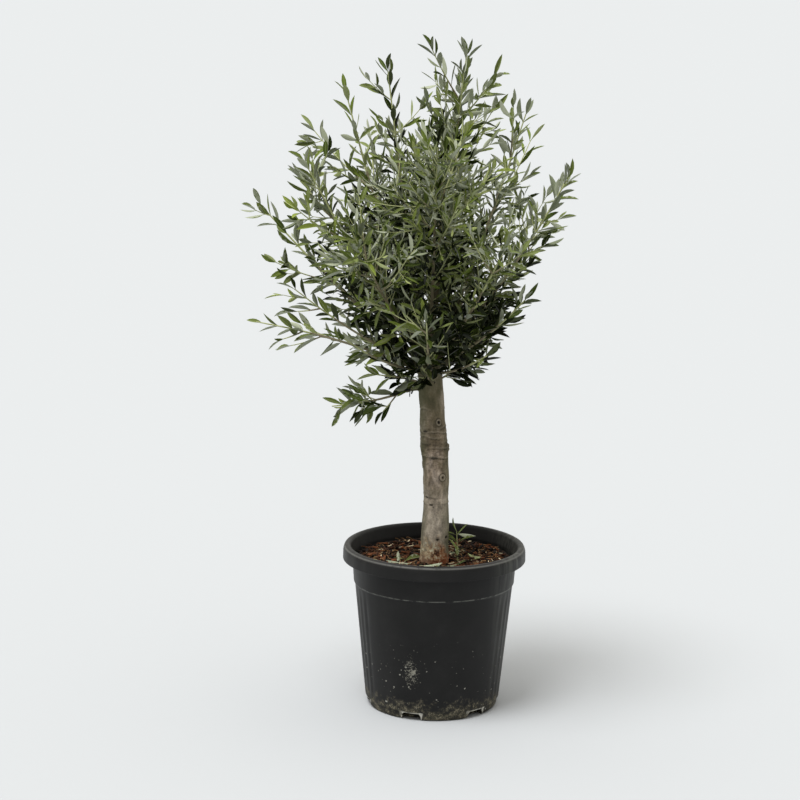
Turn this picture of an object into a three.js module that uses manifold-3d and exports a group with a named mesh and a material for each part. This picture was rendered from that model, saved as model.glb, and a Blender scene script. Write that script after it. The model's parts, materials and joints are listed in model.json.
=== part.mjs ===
// Potted olive tree: a short clear trunk with a round open crown, in a black nursery pot.
// Millimetres, +Z up. The origin is the centre of the pot's flat underside, and -Y is the front.
import * as THREE from "three";
import { mergeVertices } from "three/addons/utils/BufferGeometryUtils.js";
import Module from "manifold-3d";

const wasm = await Module();
wasm.setup();

// ---------------------------------------------------------------- driving dimensions
const GAP = 0.3; // clearance between pieces that touch
const UP = new THREE.Vector3(0, 0, 1);
const BACK = new THREE.Vector3(0, 1, 0);

// Pot: injection-moulded, with a down-turned lip, a stacking collar and six drain notches.
const POT = {
  height: 305,
  lipRadius: 170, // the lip's outer wall, the pot's widest place
  lipHeight: 27,
  lipSkirt: 3,
  hollowRise: 17,
  hollowWall: 0.8,
  mouthRadius: 156.5,
  collarTopRadius: 152.5,
  collarBottomRadius: 149.5,
  collarBottom: 235, // height of the step under the stacking collar
  bodyTopRadius: 147,
  bodyBottomRadius: 125.5,
  footHeight: 16,
  footRadius: 122.5,
  wall: 2.8,
  floor: 4,
  segments: 36,
};
const NOTCH = { count: 6, first: -108, width: 36, height: 13, depth: 16 };

// Root ball: bark mulch that dips towards the trunk.
const SOIL = { foot: 270, edge: 279, flatRadius: 52, edgeRadius: 140 };

// Trunk: [height, sideways lean, radius] from the flat cut on the soil to the tip in the crown.
const TRUNK = [
  [SOIL.foot + GAP, 0, 27.8],
  [284, 0.4, 26.6],
  [320, 1.2, 25.6],
  [370, 1.9, 24],
  [420, 1.6, 23.3],
  [456, -0.2, 24],
  [487, -2.8, 25.6],
  [515, -5, 24.6],
  [560, -8.8, 23.3],
  [640, -13.5, 22],
  [688, -15.5, 18.5],
  [706, -16.5, 14],
];
const TRUNK_SIDES = 14;
// Pruning scars: [height, compass angle, radius, how far the swelling stands out]
const KNOTS = [
  [540, -62, 8, 2.5],
  [491, -14, 8, 4.5],
  [436, -58, 9, 2.2],
  [378, -118, 8, 1.8],
  [520, 130, 9, 3],
];

// Crown: the boughs leave the top of the trunk, and their reach is measured from this point.
const HEART = new THREE.Vector3(-12, 0, 650);
// The crown's outline, an ellipsoid: side shoots and leaves stay inside it, or near their leader.
const CROWN = { centre: [-50, 0, 925], radii: [310, 285, 332], stray: 58 };
const FEET = { low: 606, high: 674, lowRise: -28, highRise: 80, out: 0.6 };
const BOUGH = { sides: 5, rings: 4, share: 0.25, slim: 3.4, perReach: 0.0052, taper: 0.62 };
const TUFT_RADIUS = 2.6;
// Each limb: compass angle (0 is +X, 90 is +Y), rise above level, reach from the heart to its
// furthest leaf, and bow, the share of its length by which its middle stands above the chord.
const LIMBS = [
  { name: "top", angle: 20, rise: 84, reach: 603, bow: -0.02, foot: 700 },
  { name: "top_left", angle: 203, rise: 80, reach: 568, bow: -0.03 },
  { name: "upper_left", angle: 168, rise: 71, reach: 548, bow: -0.04 },
  { name: "left_shoulder", angle: 189, rise: 57, reach: 472, bow: -0.04 },
  { name: "left_long", angle: 174, rise: 41, reach: 466, bow: -0.03 },
  { name: "left_mid", angle: 198, rise: 28, reach: 340, bow: -0.04 },
  { name: "left_low", angle: 179, rise: 12, reach: 362, bow: 0.03 },
  { name: "left_droop", angle: 190, rise: -27, reach: 238, bow: -0.04 },
  { name: "right_top", angle: 2, rise: 70, reach: 520, bow: -0.04 },
  { name: "right_out", angle: -17, rise: 54, reach: 472, bow: -0.06 },
  { name: "right_mid", angle: 27, rise: 45, reach: 376, bow: -0.06 },
  { name: "right_low", angle: -34, rise: 34, reach: 312, bow: -0.06 },
  { name: "right_bottom", angle: 8, rise: 25, reach: 190, bow: -0.05 },
  { name: "front_top", angle: -88, rise: 67, reach: 480, bow: -0.05 },
  { name: "front_left", angle: -124, rise: 46, reach: 400, bow: -0.05 },
  { name: "front_right", angle: -60, rise: 43, reach: 384, bow: -0.05 },
  { name: "front_low", angle: -92, rise: 23, reach: 292, bow: -0.06 },
  { name: "back_top", angle: 84, rise: 66, reach: 490, bow: -0.05 },
  { name: "back_left", angle: 124, rise: 46, reach: 410, bow: -0.05 },
  { name: "back_right", angle: 63, rise: 42, reach: 392, bow: -0.05 },
  { name: "back_low", angle: 92, rise: 23, reach: 296, bow: -0.06 },
  { name: "front_left_low", angle: -133, rise: 15, reach: 276, bow: -0.05 },
  { name: "back_left_low", angle: 138, rise: 14, reach: 290, bow: -0.05 },
  { name: "front_right_low", angle: -58, rise: 10, reach: 232, bow: -0.04 },
  { name: "back_right_low", angle: 46, rise: 12, reach: 240, bow: -0.04 },
];
// Tufts: short masses that grow straight from the trunk's axis, at a height of their own.
const TUFTS = [
  { name: "tuft_left", angle: 212, rise: -15, reach: 150, bow: 0.03, foot: 604 },
  { name: "tuft_right", angle: -14, rise: -8, reach: 128, bow: 0.03, foot: 606 },
  { name: "tuft_front", angle: -102, rise: -12, reach: 118, bow: 0.03, foot: 602 },
  { name: "tuft_back", angle: 112, rise: -10, reach: 124, bow: 0.03, foot: 606 },
];
// The basal shoot beside the trunk: its foot, its height, how far its tip leans towards +X, the
// shares of it that carry a pair of leaves, and the size and opening angle of those leaves.
const SPRIG = { x: 44, y: 4, height: 26, lean: 6, radius: 1.6, nodes: [0.3, 0.72], leaf: 0.42, open: 58 };

// The growth rule. A twig is three-sided, and each of its nodes carries an opposite pair of
// leaves or, on a mass's stem, side shoots. These are a node's two sides in turn, each with the
// angle about the twig at which it sprouts, so that pairs are turned a sixth of a turn apart.
const PAIRS = [
  [[1, 0], [3, 180]],
  [[2, 60], [3, 240]],
  [[1, -60], [2, 120]],
];
const RULE = {
  seed: 20261,
  leaderSteps: 8,
  stemPitch: 36,
  shootPitch: 34,
  firstNode: 14,
  nodeHeight: 3.4,
  lastShoot: 0.72, // share of the stem above which it carries leaves only
  open: 44, // angle between a side shoot and its stem
  openSpread: 14,
  shootLength: 0.62, // of the stem, at its foot
  shootFade: 0.5, // how much shorter side shoots get towards the tip
  shortest: 100,
  cuts: [1, 0.86, 0.74], // lengths tried for a side shoot that would leave its mass's space
  lift: 0.2, // how far a side shoot turns up, of its length
  leafOpen: 50,
  leafOpenTip: 28,
  leafRoll: 28,
  clear: 1.5, // how much nearer its own leader a twig or leaf stays
  limbClear: 1.6,
};
const LEAF = {
  length: 66,
  width: 18,
  thick: 1.6,
  widest: 0.45,
  bare: 0.14, // share of the length beyond which it is kept off the mass's other parts
  // where a leaf is tried against its mass's space: [share of its length, share of its width]
  spots: [[0.3, 0.35], [0.5, 0.45], [0.75, 0.25], [1, 0]],
};
const TWIG = { tip: 1.5, shootFoot: 2.3, apart: 0.6 };

// ---------------------------------------------------------------- small helpers
const degrees = THREE.MathUtils.degToRad;
const mix = THREE.MathUtils.lerp;

function heading(angle, rise) {
  const level = Math.cos(degrees(rise));
  return new THREE.Vector3(
    level * Math.cos(degrees(angle)),
    level * Math.sin(degrees(angle)),
    Math.sin(degrees(rise)),
  );
}

// A repeatable stream of numbers from 0 to 1. Every product stays below 2^53.
function stream(seed) {
  let state = seed % 4294967296;
  const next = () => {
    state = (state * 1664525 + 1013904223) % 4294967296;
    return state / 4294967296;
  };
  next();
  next();
  return next;
}

// A closed body through rings of equal count; a ring of one point closes that end to a tip.
function loft(rings) {
  const sides = Math.max(...rings.map((ring) => ring.length));
  const corners = [];
  const at = (ring, i) => ring[i % ring.length];
  const face = (a, b, c) => corners.push(a, b, c);
  for (let r = 0; r + 1 < rings.length; r += 1) {
    const [low, high] = [rings[r], rings[r + 1]];
    for (let i = 0; i < sides; i += 1) {
      if (low.length > 1) face(at(low, i), at(low, i + 1), at(high, i));
      if (high.length > 1) face(at(low, i + 1), at(high, i + 1), at(high, i));
    }
  }
  const [first, last] = [rings[0], rings[rings.length - 1]];
  for (let i = 1; i + 1 < first.length; i += 1) face(first[0], first[i + 1], first[i]);
  for (let i = 1; i + 1 < last.length; i += 1) face(last[0], last[i], last[i + 1]);
  return new THREE.BufferGeometry().setFromPoints(corners);
}

// A unit vector square to a direction, turned about it.
function crossways(along, turn = 0) {
  const reference = Math.abs(along.z) > 0.9 ? BACK : UP;
  const side = new THREE.Vector3().crossVectors(along, reference).normalize();
  return side.applyAxisAngle(along, turn);
}

// A round section of a limb, square to its line.
function section(centre, along, radius, sides) {
  const side = crossways(along);
  const other = new THREE.Vector3().crossVectors(along, side).normalize();
  return Array.from({ length: sides }, (_, i) => {
    const a = (2 * Math.PI * i) / sides;
    return centre
      .clone()
      .addScaledVector(side, radius * Math.cos(a))
      .addScaledVector(other, radius * Math.sin(a));
  });
}

// One tapering limb along a line of points, flat at its foot and at its tip.
function limb(line, footRadius, tipRadius, sides) {
  const last = line.length - 1;
  return loft(
    line.map((point, i) => {
      const along = line[Math.min(i + 1, last)].clone().sub(line[Math.max(i - 1, 0)]).normalize();
      return section(point, along, mix(footRadius, tipRadius, i / last), sides);
    }),
  );
}

function solid(geometry) {
  geometry.deleteAttribute("normal");
  geometry.deleteAttribute("uv");
  const merged = mergeVertices(geometry, 1e-4);
  return new wasm.Manifold(
    new wasm.Mesh({
      numProp: 3,
      vertProperties: merged.attributes.position.array,
      triVerts: new Uint32Array(merged.index.array),
    }),
  );
}

function geometryOf(body) {
  const mesh = body.getMesh();
  const position = new Float32Array(mesh.numVert * 3);
  for (let i = 0; i < mesh.numVert; i += 1) {
    position.set(mesh.vertProperties.subarray(i * mesh.numProp, i * mesh.numProp + 3), i * 3);
  }
  return new THREE.BufferGeometry()
    .setAttribute("position", new THREE.BufferAttribute(position, 3))
    .setIndex(new THREE.BufferAttribute(mesh.triVerts, 1));
}

// Fuses bodies into one, and drops any scrap that hangs loose from it.
function fused(bodies) {
  const pieces = wasm.Manifold.union(bodies).decompose();
  return pieces.sort((a, b) => b.volume() - a.volume())[0];
}

// ---------------------------------------------------------------- materials
const plastic = new THREE.MeshStandardMaterial({ color: 0x222323, roughness: 0.55, metalness: 0 });
const mulch = new THREE.MeshStandardMaterial({ color: 0x4a2c1e, roughness: 0.95, metalness: 0 });
const bark = new THREE.MeshStandardMaterial({ color: 0x82796a, roughness: 0.9, metalness: 0 });
const foliage = new THREE.MeshStandardMaterial({ color: 0x5c6a45, roughness: 0.6, metalness: 0 });

const tree = new THREE.Group();

function add(name, geometry, material) {
  const mesh = new THREE.Mesh(geometry, material);
  mesh.name = name;
  tree.add(mesh);
}

// ---------------------------------------------------------------- pot and root ball
// Inner wall radius at a height, shared by the pot and the root ball inside it.
function innerRadius(height) {
  const share = (height - POT.footHeight) / (POT.collarBottom - POT.footHeight);
  if (share <= 1) return mix(POT.bodyBottomRadius, POT.bodyTopRadius, Math.max(share, 0)) - POT.wall;
  const lipFoot = POT.height - POT.lipHeight;
  const onCollar = (height - POT.collarBottom) / (lipFoot - POT.collarBottom);
  return mix(POT.collarBottomRadius, POT.collarTopRadius, Math.min(onCollar, 1)) - POT.wall;
}

function revolve(profile, segments) {
  const geometry = new THREE.LatheGeometry(
    profile.map(([r, z]) => new THREE.Vector2(r, z)),
    segments,
  );
  return geometry.rotateX(Math.PI / 2);
}

function potBody() {
  const lipFoot = POT.height - POT.lipHeight;
  const skirt = POT.lipRadius - POT.lipSkirt;
  const hollowTop = lipFoot + POT.hollowRise; // the lip is hollow, and open below
  const profile = [
    [0, 0],
    [POT.footRadius - 5, 0],
    [POT.footRadius - 1, 3],
    [POT.footRadius + 1, POT.footHeight - 1],
    [POT.bodyBottomRadius, POT.footHeight],
    [POT.bodyTopRadius, POT.collarBottom - 3],
    [POT.collarBottomRadius, POT.collarBottom],
    [POT.collarTopRadius, lipFoot],
    [POT.mouthRadius + POT.hollowWall, hollowTop],
    [skirt - POT.lipSkirt, hollowTop],
    [skirt, lipFoot],
    [POT.lipRadius, lipFoot],
    [POT.lipRadius - 0.5, POT.height - 8],
    [POT.lipRadius - 4, POT.height - 1],
    [POT.lipRadius - 7, POT.height],
    [POT.mouthRadius + 2, POT.height],
    [POT.mouthRadius - 1, POT.height - 3],
    [innerRadius(lipFoot), lipFoot + 4],
    [innerRadius(POT.collarBottom + 2), POT.collarBottom + 2],
    [innerRadius(POT.collarBottom), POT.collarBottom - 4],
    [innerRadius(0), POT.footHeight],
    [POT.footRadius - 6, POT.floor],
    [0, POT.floor],
  ];
  const shell = solid(revolve(profile, POT.segments));
  const cuts = Array.from({ length: NOTCH.count }, (_, i) => {
    const angle = degrees(NOTCH.first + (360 / NOTCH.count) * i);
    const out = POT.footRadius - NOTCH.depth / 2 + 4;
    const box = new THREE.BoxGeometry(NOTCH.depth + 8, NOTCH.width, 2 * NOTCH.height);
    return solid(box.rotateZ(angle).translate(out * Math.cos(angle), out * Math.sin(angle), 0));
  });
  return shell.subtract(wasm.Manifold.union(cuts));
}

function rootBall() {
  // The wall's inside is faceted, so the root ball keeps its clearance at the same facets.
  const edge = SOIL.edge;
  const profile = [
    [0, POT.floor + GAP],
    [POT.footRadius - 20, POT.floor + GAP],
    [innerRadius(0) - 2 * GAP, POT.footHeight + 6],
    [innerRadius(POT.collarBottom) - 3 * GAP, POT.collarBottom - 8],
    [innerRadius(POT.collarBottom) - 3 * GAP, POT.collarBottom + 2],
    [innerRadius(edge) - 4 * GAP, edge - 3],
    [SOIL.edgeRadius, edge],
    [(SOIL.edgeRadius + SOIL.flatRadius) / 2, mix(SOIL.foot, edge, 0.62)],
    [SOIL.flatRadius, SOIL.foot],
    [0, SOIL.foot],
  ];
  return revolve(profile, POT.segments);
}

// ---------------------------------------------------------------- trunk
function trunkAt(height) {
  const top = TRUNK.findIndex(([z]) => z >= height);
  const [low, high] = [TRUNK[Math.max(top - 1, 0)], TRUNK[top < 0 ? TRUNK.length - 1 : top]];
  const share = high === low ? 0 : (height - low[0]) / (high[0] - low[0]);
  return {
    centre: new THREE.Vector3(mix(low[1], high[1], share), 0, height),
    radius: mix(low[2], high[2], share),
  };
}

// The trunk's smooth body, grown all round by a margin so that limbs can be cut clear of it.
function trunkBody(margin) {
  const rings = TRUNK.map(([z, lean, radius], i) => {
    const end = i === 0 ? -margin : i === TRUNK.length - 1 ? margin : 0;
    return section(new THREE.Vector3(lean, 0, z + end), UP, radius + margin, TRUNK_SIDES);
  });
  return solid(loft(rings));
}

function trunkWithKnots() {
  const knots = KNOTS.map(([height, angle, radius, proud]) => {
    const { centre, radius: bole } = trunkAt(height);
    const knot = new THREE.IcosahedronGeometry(radius, 1);
    knot.scale(1, 1, 1.25);
    const out = bole + proud - radius;
    return solid(
      knot.translate(
        centre.x + out * Math.cos(degrees(angle)),
        centre.y + out * Math.sin(degrees(angle)),
        height,
      ),
    );
  });
  return fused([trunkBody(0), ...knots]);
}

// ---------------------------------------------------------------- limbs
// The line of a limb or shoot from foot to tip, its middle moved up by the bow's share.
function bowed(foot, tip, bow, steps) {
  const length = foot.distanceTo(tip);
  return Array.from({ length: steps + 1 }, (_, i) => {
    const t = i / steps;
    return foot
      .clone()
      .lerp(tip, t)
      .addScaledVector(UP, 4 * bow * length * t * (1 - t));
  });
}

// Where a limb starts inside the trunk: higher the steeper it is, and out towards its own side.
function footOf(spec) {
  if (spec.foot !== undefined) return trunkAt(spec.foot).centre;
  const share = (spec.rise - FEET.lowRise) / (FEET.highRise - FEET.lowRise);
  const { centre, radius } = trunkAt(mix(FEET.low, FEET.high, share));
  return centre.addScaledVector(heading(spec.angle, 0), FEET.out * radius);
}

// A limb as its bough, of which a tuft has none, and the leader that goes on from its tip.
function layOut(spec, number) {
  const tuft = TUFTS.includes(spec);
  const start = footOf(spec);
  const tip = HEART.clone().addScaledVector(heading(spec.angle, spec.rise), spec.reach - LEAF.length);
  const curve = new THREE.CatmullRomCurve3(bowed(start, tip, spec.bow, 12));
  const length = curve.getLength();
  const split = tuft ? (trunkAt(spec.foot).radius - 2) / length : BOUGH.share;
  const footRadius = BOUGH.slim + BOUGH.perReach * spec.reach;
  const stretch = (from, to, steps) =>
    Array.from({ length: steps + 1 }, (_, i) => curve.getPointAt(mix(from, to, i / steps)));
  return {
    ...spec,
    number,
    tuft,
    footRadius,
    tipRadius: tuft ? TUFT_RADIUS : footRadius * BOUGH.taper,
    bough: stretch(0, split, BOUGH.rings - 1),
    leader: stretch(split + GAP / length, 1, RULE.leaderSteps),
  };
}

const limbs = [...LIMBS, ...TUFTS].map(layOut);
const trunkLine = TRUNK.map(([z, lean]) => new THREE.Vector3(lean, 0, z));

// ---------------------------------------------------------------- each mass's own space
function distanceToLine(point, line) {
  let nearest = Infinity;
  const segment = new THREE.Line3();
  const foot = new THREE.Vector3();
  for (let i = 0; i + 1 < line.length; i += 1) {
    segment.set(line[i], line[i + 1]).closestPointToPoint(point, true, foot);
    nearest = Math.min(nearest, foot.distanceTo(point));
  }
  return nearest;
}

function isInCrown(point) {
  const [x, y, z] = point.toArray().map((value, i) => (value - CROWN.centre[i]) / CROWN.radii[i]);
  return x * x + y * y + z * z <= 1;
}

// Whether a ball round a point keeps to the crown, nearer its own leader than any other and
// clear of all wood.
function isFree(point, ball, own) {
  const bole = trunkAt(point.z).radius;
  if (distanceToLine(point, trunkLine) < bole + ball + RULE.limbClear) return false;
  const home = distanceToLine(point, own.leader);
  if (home > CROWN.stray && !isInCrown(point)) return false;
  return limbs.every((other) => {
    const wood = other.tuft ? Infinity : distanceToLine(point, other.bough);
    if (wood < other.footRadius + ball + RULE.limbClear) return false;
    return other === own || home + ball + RULE.clear < distanceToLine(point, other.leader);
  });
}

// ---------------------------------------------------------------- twigs and leaves
// A mass is one closed skin. A sprout is a list of rings that the skin runs over, with children
// that are pushed out of the sides between two rings, so that every root is part of its twig.

// The three-sided ring of a twig or leaf: a keel below and two edges. It is listed as four
// points, the keel twice, so that it also joins the four corners of a twig's side.
function ringOf(centre, along, face, width, depth) {
  const side = new THREE.Vector3().crossVectors(face, along).normalize();
  const keel = centre.clone().addScaledVector(face, (-2 / 3) * depth);
  const edge = (half) => centre.clone().addScaledVector(side, half).addScaledVector(face, depth / 3);
  return [keel, keel, edge(width / 2), edge(-width / 2)];
}

// Adds the two triangles of a four-cornered face, folded so that the fold stands out.
function addFace(skin, a, b, c, d) {
  const [ac, bd] = [c.clone().sub(a), d.clone().sub(b)];
  const between = a.clone().add(c).sub(b).sub(d);
  const corners = between.dot(ac.cross(bd)) >= 0 ? [a, b, c, a, c, d] : [a, b, d, b, c, d];
  for (let i = 0; i < corners.length; i += 3) {
    const [p, q, r] = corners.slice(i, i + 3);
    if (p !== q && q !== r && r !== p) skin.push(p, q, r);
  }
}

// Runs the skin from a loop of four points over a sprout's rings and its children.
function grow(skin, loop, sprout) {
  let low = loop;
  sprout.rings.forEach((ring, k) => {
    for (let i = 0; i < ring.length; i += 1) {
      const j = (i + 1) % ring.length;
      const child = sprout.children.find(({ after, side }) => after === k && side === i);
      if (child) {
        grow(skin, [low[i], low[j], ring[j], ring[i]], child);
      } else {
        addFace(skin, low[i], low[j], ring[j], ring[i]);
      }
    }
    low = ring;
  });
}

// The closed skin of a sprout on a flat foot.
function skinOf(foot, sprout) {
  const skin = [foot[1], foot[3], foot[2]];
  grow(skin, foot, sprout);
  return new THREE.BufferGeometry().setFromPoints(skin);
}

// Keeps a sprout's own body if it crosses nothing in the mass so far.
function claims(taken, foot, sprout) {
  const body = solid(skinOf(foot, { ...sprout, children: [] }));
  if (taken.some((other) => body.minGap(other, 1) < TWIG.apart)) return false;
  taken.push(body);
  return true;
}

// A direction that leaves another one at an angle, on the side of an outward vector.
function leaning(along, outward, open) {
  return along.clone().multiplyScalar(Math.cos(open)).addScaledVector(outward, Math.sin(open)).normalize();
}

// The rings of a leaf from its root on: its widest place and its tip.
function leafRings(root, along, face, scale) {
  const at = (share) => root.clone().addScaledVector(along, share * LEAF.length * scale);
  const tip = at(1);
  return [ringOf(at(LEAF.widest), along, face, LEAF.width * scale, LEAF.thick), [tip, tip, tip, tip]];
}

function leafIsFree(root, along, scale, own) {
  return LEAF.spots.every(([share, half]) => {
    const spot = root.clone().addScaledVector(along, share * LEAF.length * scale);
    return isFree(spot, half * LEAF.width * scale, own);
  });
}

function leafSprout(own, taken, root, along, outward, share, random) {
  const direction = leaning(along, outward, degrees(mix(RULE.leafOpen, RULE.leafOpenTip, share)));
  const face = along.clone().addScaledVector(direction, -along.dot(direction)).normalize();
  face.applyAxisAngle(direction, degrees(RULE.leafRoll) * (2 * random() - 1));
  const scale = mix(0.88, 1.08, random());
  if (!leafIsFree(root, direction, scale, own)) return null;
  const sprout = { rings: leafRings(root, direction, face, scale), children: [] };
  const bare = root.clone().addScaledVector(direction, LEAF.bare * LEAF.length * scale);
  return claims(taken, ringOf(bare, direction, face, 2, 1), sprout) ? sprout : null;
}

// The line of the side shoot at a node, cut until it keeps to its mass's space, or nothing.
function shootLine(own, stem, share, outward, random) {
  const root = stem.curve.getPointAt(share);
  const open = degrees(RULE.open + RULE.openSpread * (random() - 0.5));
  const direction = leaning(stem.curve.getTangentAt(share), outward, open);
  const whole = stem.length * RULE.shootLength * (1 - RULE.shootFade * share) * mix(0.9, 1.15, random());
  for (const cut of RULE.cuts) {
    const reach = Math.max(whole, RULE.shortest) * cut;
    const tip = root.clone().addScaledVector(direction, reach);
    tip.z += RULE.lift * reach;
    const line = bowed(root, tip, -RULE.lift / 4, 8);
    if (line.slice(2).every((point) => isFree(point, 3, own))) return line;
  }
  return null;
}

// A twig along a line that ends in a leaf. Its nodes carry what `childAt` gives for each side.
function twigSprout(line, face, footRadius, pitch) {
  const curve = new THREE.CatmullRomCurve3(line);
  const length = curve.getLength();
  const wood = Math.max(length - LEAF.length, RULE.firstNode / 2);
  const keel = face.clone();
  const nodes = [];
  const ringAt = (at) => {
    const along = curve.getTangentAt(at / length);
    keel.addScaledVector(along, -along.dot(keel)).normalize();
    const radius = mix(footRadius, TWIG.tip, at / wood);
    return ringOf(curve.getPointAt(at / length), along, keel, Math.sqrt(3) * radius, 1.5 * radius);
  };
  const foot = ringAt(0);
  const rings = [];
  for (let at = RULE.firstNode; at <= wood - RULE.nodeHeight; at += pitch) {
    rings.push(ringAt(at), ringAt(at + RULE.nodeHeight));
    nodes.push({ after: rings.length - 1, share: (at + RULE.nodeHeight / 2) / length, keel: keel.clone() });
  }
  const root = curve.getPointAt(wood / length);
  const along = curve.getPointAt(1).sub(root).normalize();
  keel.addScaledVector(along, -along.dot(keel)).normalize();
  rings.push(...leafRings(root, along, keel, (length - wood) / LEAF.length));
  return { curve, length, foot, rings, nodes, children: [] };
}

// Gives the nodes of a twig their leaves and, on a stem, the side shoots with leaves of their own.
function dress(own, taken, twig, isStem, random) {
  twig.nodes.forEach(({ after, share, keel }, number) => {
    const along = twig.curve.getTangentAt(share);
    const across = new THREE.Vector3().crossVectors(keel, along);
    PAIRS[number % PAIRS.length].forEach(([side, angle], half) => {
      const root = twig.curve.getPointAt(share);
      const outward = across.clone().applyAxisAngle(along, degrees(angle));
      const shoots = isStem && share < RULE.lastShoot;
      const child = shoots && sideShoot(own, taken, twig, share, outward, 2 * number + half);
      const kept = child || leafSprout(own, taken, root, along, outward, share, random);
      if (kept) twig.children.push({ ...kept, after, side });
    });
  });
}

// The side shoot at a numbered place on a stem, from a stream of its own.
function sideShoot(own, taken, stem, share, outward, number) {
  const random = stream(RULE.seed + own.number * 131 + number * 17);
  const line = shootLine(own, stem, share, outward, random);
  if (!line) return null;
  const along = line[1].clone().sub(line[0]).normalize();
  const face = stem.curve.getTangentAt(share);
  face.addScaledVector(along, -along.dot(face)).normalize();
  const shoot = twigSprout(line, face, TWIG.shootFoot, RULE.shootPitch);
  if (!claims(taken, shoot.rings[0], { rings: shoot.rings.slice(1) })) return null;
  dress(own, taken, shoot, false, random);
  return shoot;
}

function foliageMass(own) {
  const tip = own.leader[own.leader.length - 1];
  const last = own.leader[own.leader.length - 2];
  const leafTip = tip.clone().addScaledVector(tip.clone().sub(last).normalize(), LEAF.length);
  const face = crossways(own.leader[1].clone().sub(own.leader[0]).normalize(), own.number);
  const stem = twigSprout([...own.leader, leafTip], face, own.tipRadius, RULE.stemPitch);
  const taken = [];
  claims(taken, stem.foot, stem);
  dress(own, taken, stem, true, stream(RULE.seed + own.number * 977));
  return skinOf(stem.foot, stem);
}

// The young shoot that comes up beside the trunk, on the root ball.
function basalSprig() {
  const foot = new THREE.Vector3(SPRIG.x, SPRIG.y, SOIL.foot + 2 * GAP);
  const tip = new THREE.Vector3(SPRIG.x + SPRIG.lean, SPRIG.y, SOIL.foot + SPRIG.height);
  const along = tip.clone().sub(foot).normalize();
  const keel = crossways(along);
  const width = Math.sqrt(3) * SPRIG.radius;
  const ringAt = (share) => ringOf(foot.clone().lerp(tip, share), along, keel, width, 1.5 * SPRIG.radius);
  const blade = (root, direction, face) => leafRings(root, direction, face, SPRIG.leaf);
  const rings = [];
  const children = [];
  SPRIG.nodes.forEach((share, number) => {
    rings.push(ringAt(share - 0.04), ringAt(share + 0.04));
    const root = foot.clone().lerp(tip, share);
    for (const [side, angle] of PAIRS[number]) {
      const outward = new THREE.Vector3().crossVectors(keel, along).applyAxisAngle(along, degrees(angle));
      const direction = leaning(along, outward, degrees(SPRIG.open));
      const face = along.clone().addScaledVector(direction, -along.dot(direction)).normalize();
      children.push({ rings: blade(root, direction, face), children: [], after: rings.length - 1, side });
    }
  });
  rings.push(...blade(tip, along, keel));
  return skinOf(ringAt(0), { rings, children });
}

// ---------------------------------------------------------------- assembly
add("pot", geometryOf(potBody()), plastic);
add("root_ball", rootBall(), mulch);
add("trunk", geometryOf(trunkWithKnots()), bark);
add("basal_sprig", basalSprig(), foliage);

const trunkClearance = trunkWithKnots().add(trunkBody(GAP));
const clearOfTrunk = (geometry) => geometryOf(fused([solid(geometry).subtract(trunkClearance)]));
for (const own of limbs) {
  if (!own.tuft) {
    const bough = limb(own.bough, own.footRadius, own.tipRadius, BOUGH.sides);
    add(`bough_${own.name}`, clearOfTrunk(bough), bark);
  }
  const mass = foliageMass(own);
  add(`foliage_${own.name}`, own.tuft ? clearOfTrunk(mass) : mass, foliage);
}

export default tree;
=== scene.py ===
"""Potted olive tree: the looks of the bark, the foliage, the pot and what lies in it.

Sizes are written in millimetres and turned to metres where a mesh is made. The frame is the
solids' own: +Z up, the origin under the middle of the pot, and -Y the front.
"""

import json
import logging
import math
from collections.abc import Callable, Iterable, Sequence
from dataclasses import dataclass, field
from enum import Enum, IntEnum
from functools import partial

import bpy
import numpy as np
from mathutils import Matrix, Vector, noise

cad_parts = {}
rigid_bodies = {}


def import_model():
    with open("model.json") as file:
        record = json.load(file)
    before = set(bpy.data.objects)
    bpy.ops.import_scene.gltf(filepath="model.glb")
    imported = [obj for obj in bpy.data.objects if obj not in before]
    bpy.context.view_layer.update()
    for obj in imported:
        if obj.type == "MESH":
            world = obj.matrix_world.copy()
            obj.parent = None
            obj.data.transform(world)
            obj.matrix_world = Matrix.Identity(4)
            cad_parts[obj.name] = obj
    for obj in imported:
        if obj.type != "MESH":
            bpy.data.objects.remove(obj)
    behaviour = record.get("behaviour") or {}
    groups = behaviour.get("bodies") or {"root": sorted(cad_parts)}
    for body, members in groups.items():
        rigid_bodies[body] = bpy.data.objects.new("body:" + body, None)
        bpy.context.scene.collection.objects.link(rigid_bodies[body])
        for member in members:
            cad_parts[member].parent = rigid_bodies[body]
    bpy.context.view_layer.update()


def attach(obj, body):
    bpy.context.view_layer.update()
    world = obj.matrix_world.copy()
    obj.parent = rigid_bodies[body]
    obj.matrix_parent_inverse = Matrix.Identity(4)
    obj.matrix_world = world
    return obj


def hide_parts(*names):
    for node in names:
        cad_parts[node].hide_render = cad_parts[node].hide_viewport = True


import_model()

log = logging.getLogger("olive")
Array = np.ndarray
Mesh = bpy.types.Mesh
Node = bpy.types.Node
Inputs = bpy.types.NodeInputs
Span = tuple[float, float]
Triple = tuple[float, float, float]
Sizes = tuple[float, ...]
Stops = tuple[tuple[float, str], ...]
MM = 0.001
UP = np.array([0.0, 0.0, 1.0])
BACK = np.array([0.0, 1.0, 0.0])
BODY = "root"


# ---- small helpers
def linear(hex_colour: str) -> tuple[float, float, float, float]:
    """Turns an sRGB hex colour into Blender's linear colour.

    Args:
        hex_colour: six hex digits, with or without a leading hash.

    Returns:
        Red, green, blue and an alpha of one.
    """
    digits = hex_colour.lstrip("#")
    shares = [int(digits[i : i + 2], 16) / 255 for i in (0, 2, 4)]
    bright = [s / 12.92 if s <= 0.04045 else ((s + 0.055) / 1.055) ** 2.4 for s in shares]
    return bright[0], bright[1], bright[2], 1.0


def unit(vector: Array) -> Array:
    """Returns a vector at length one."""
    return vector / np.linalg.norm(vector)


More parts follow.
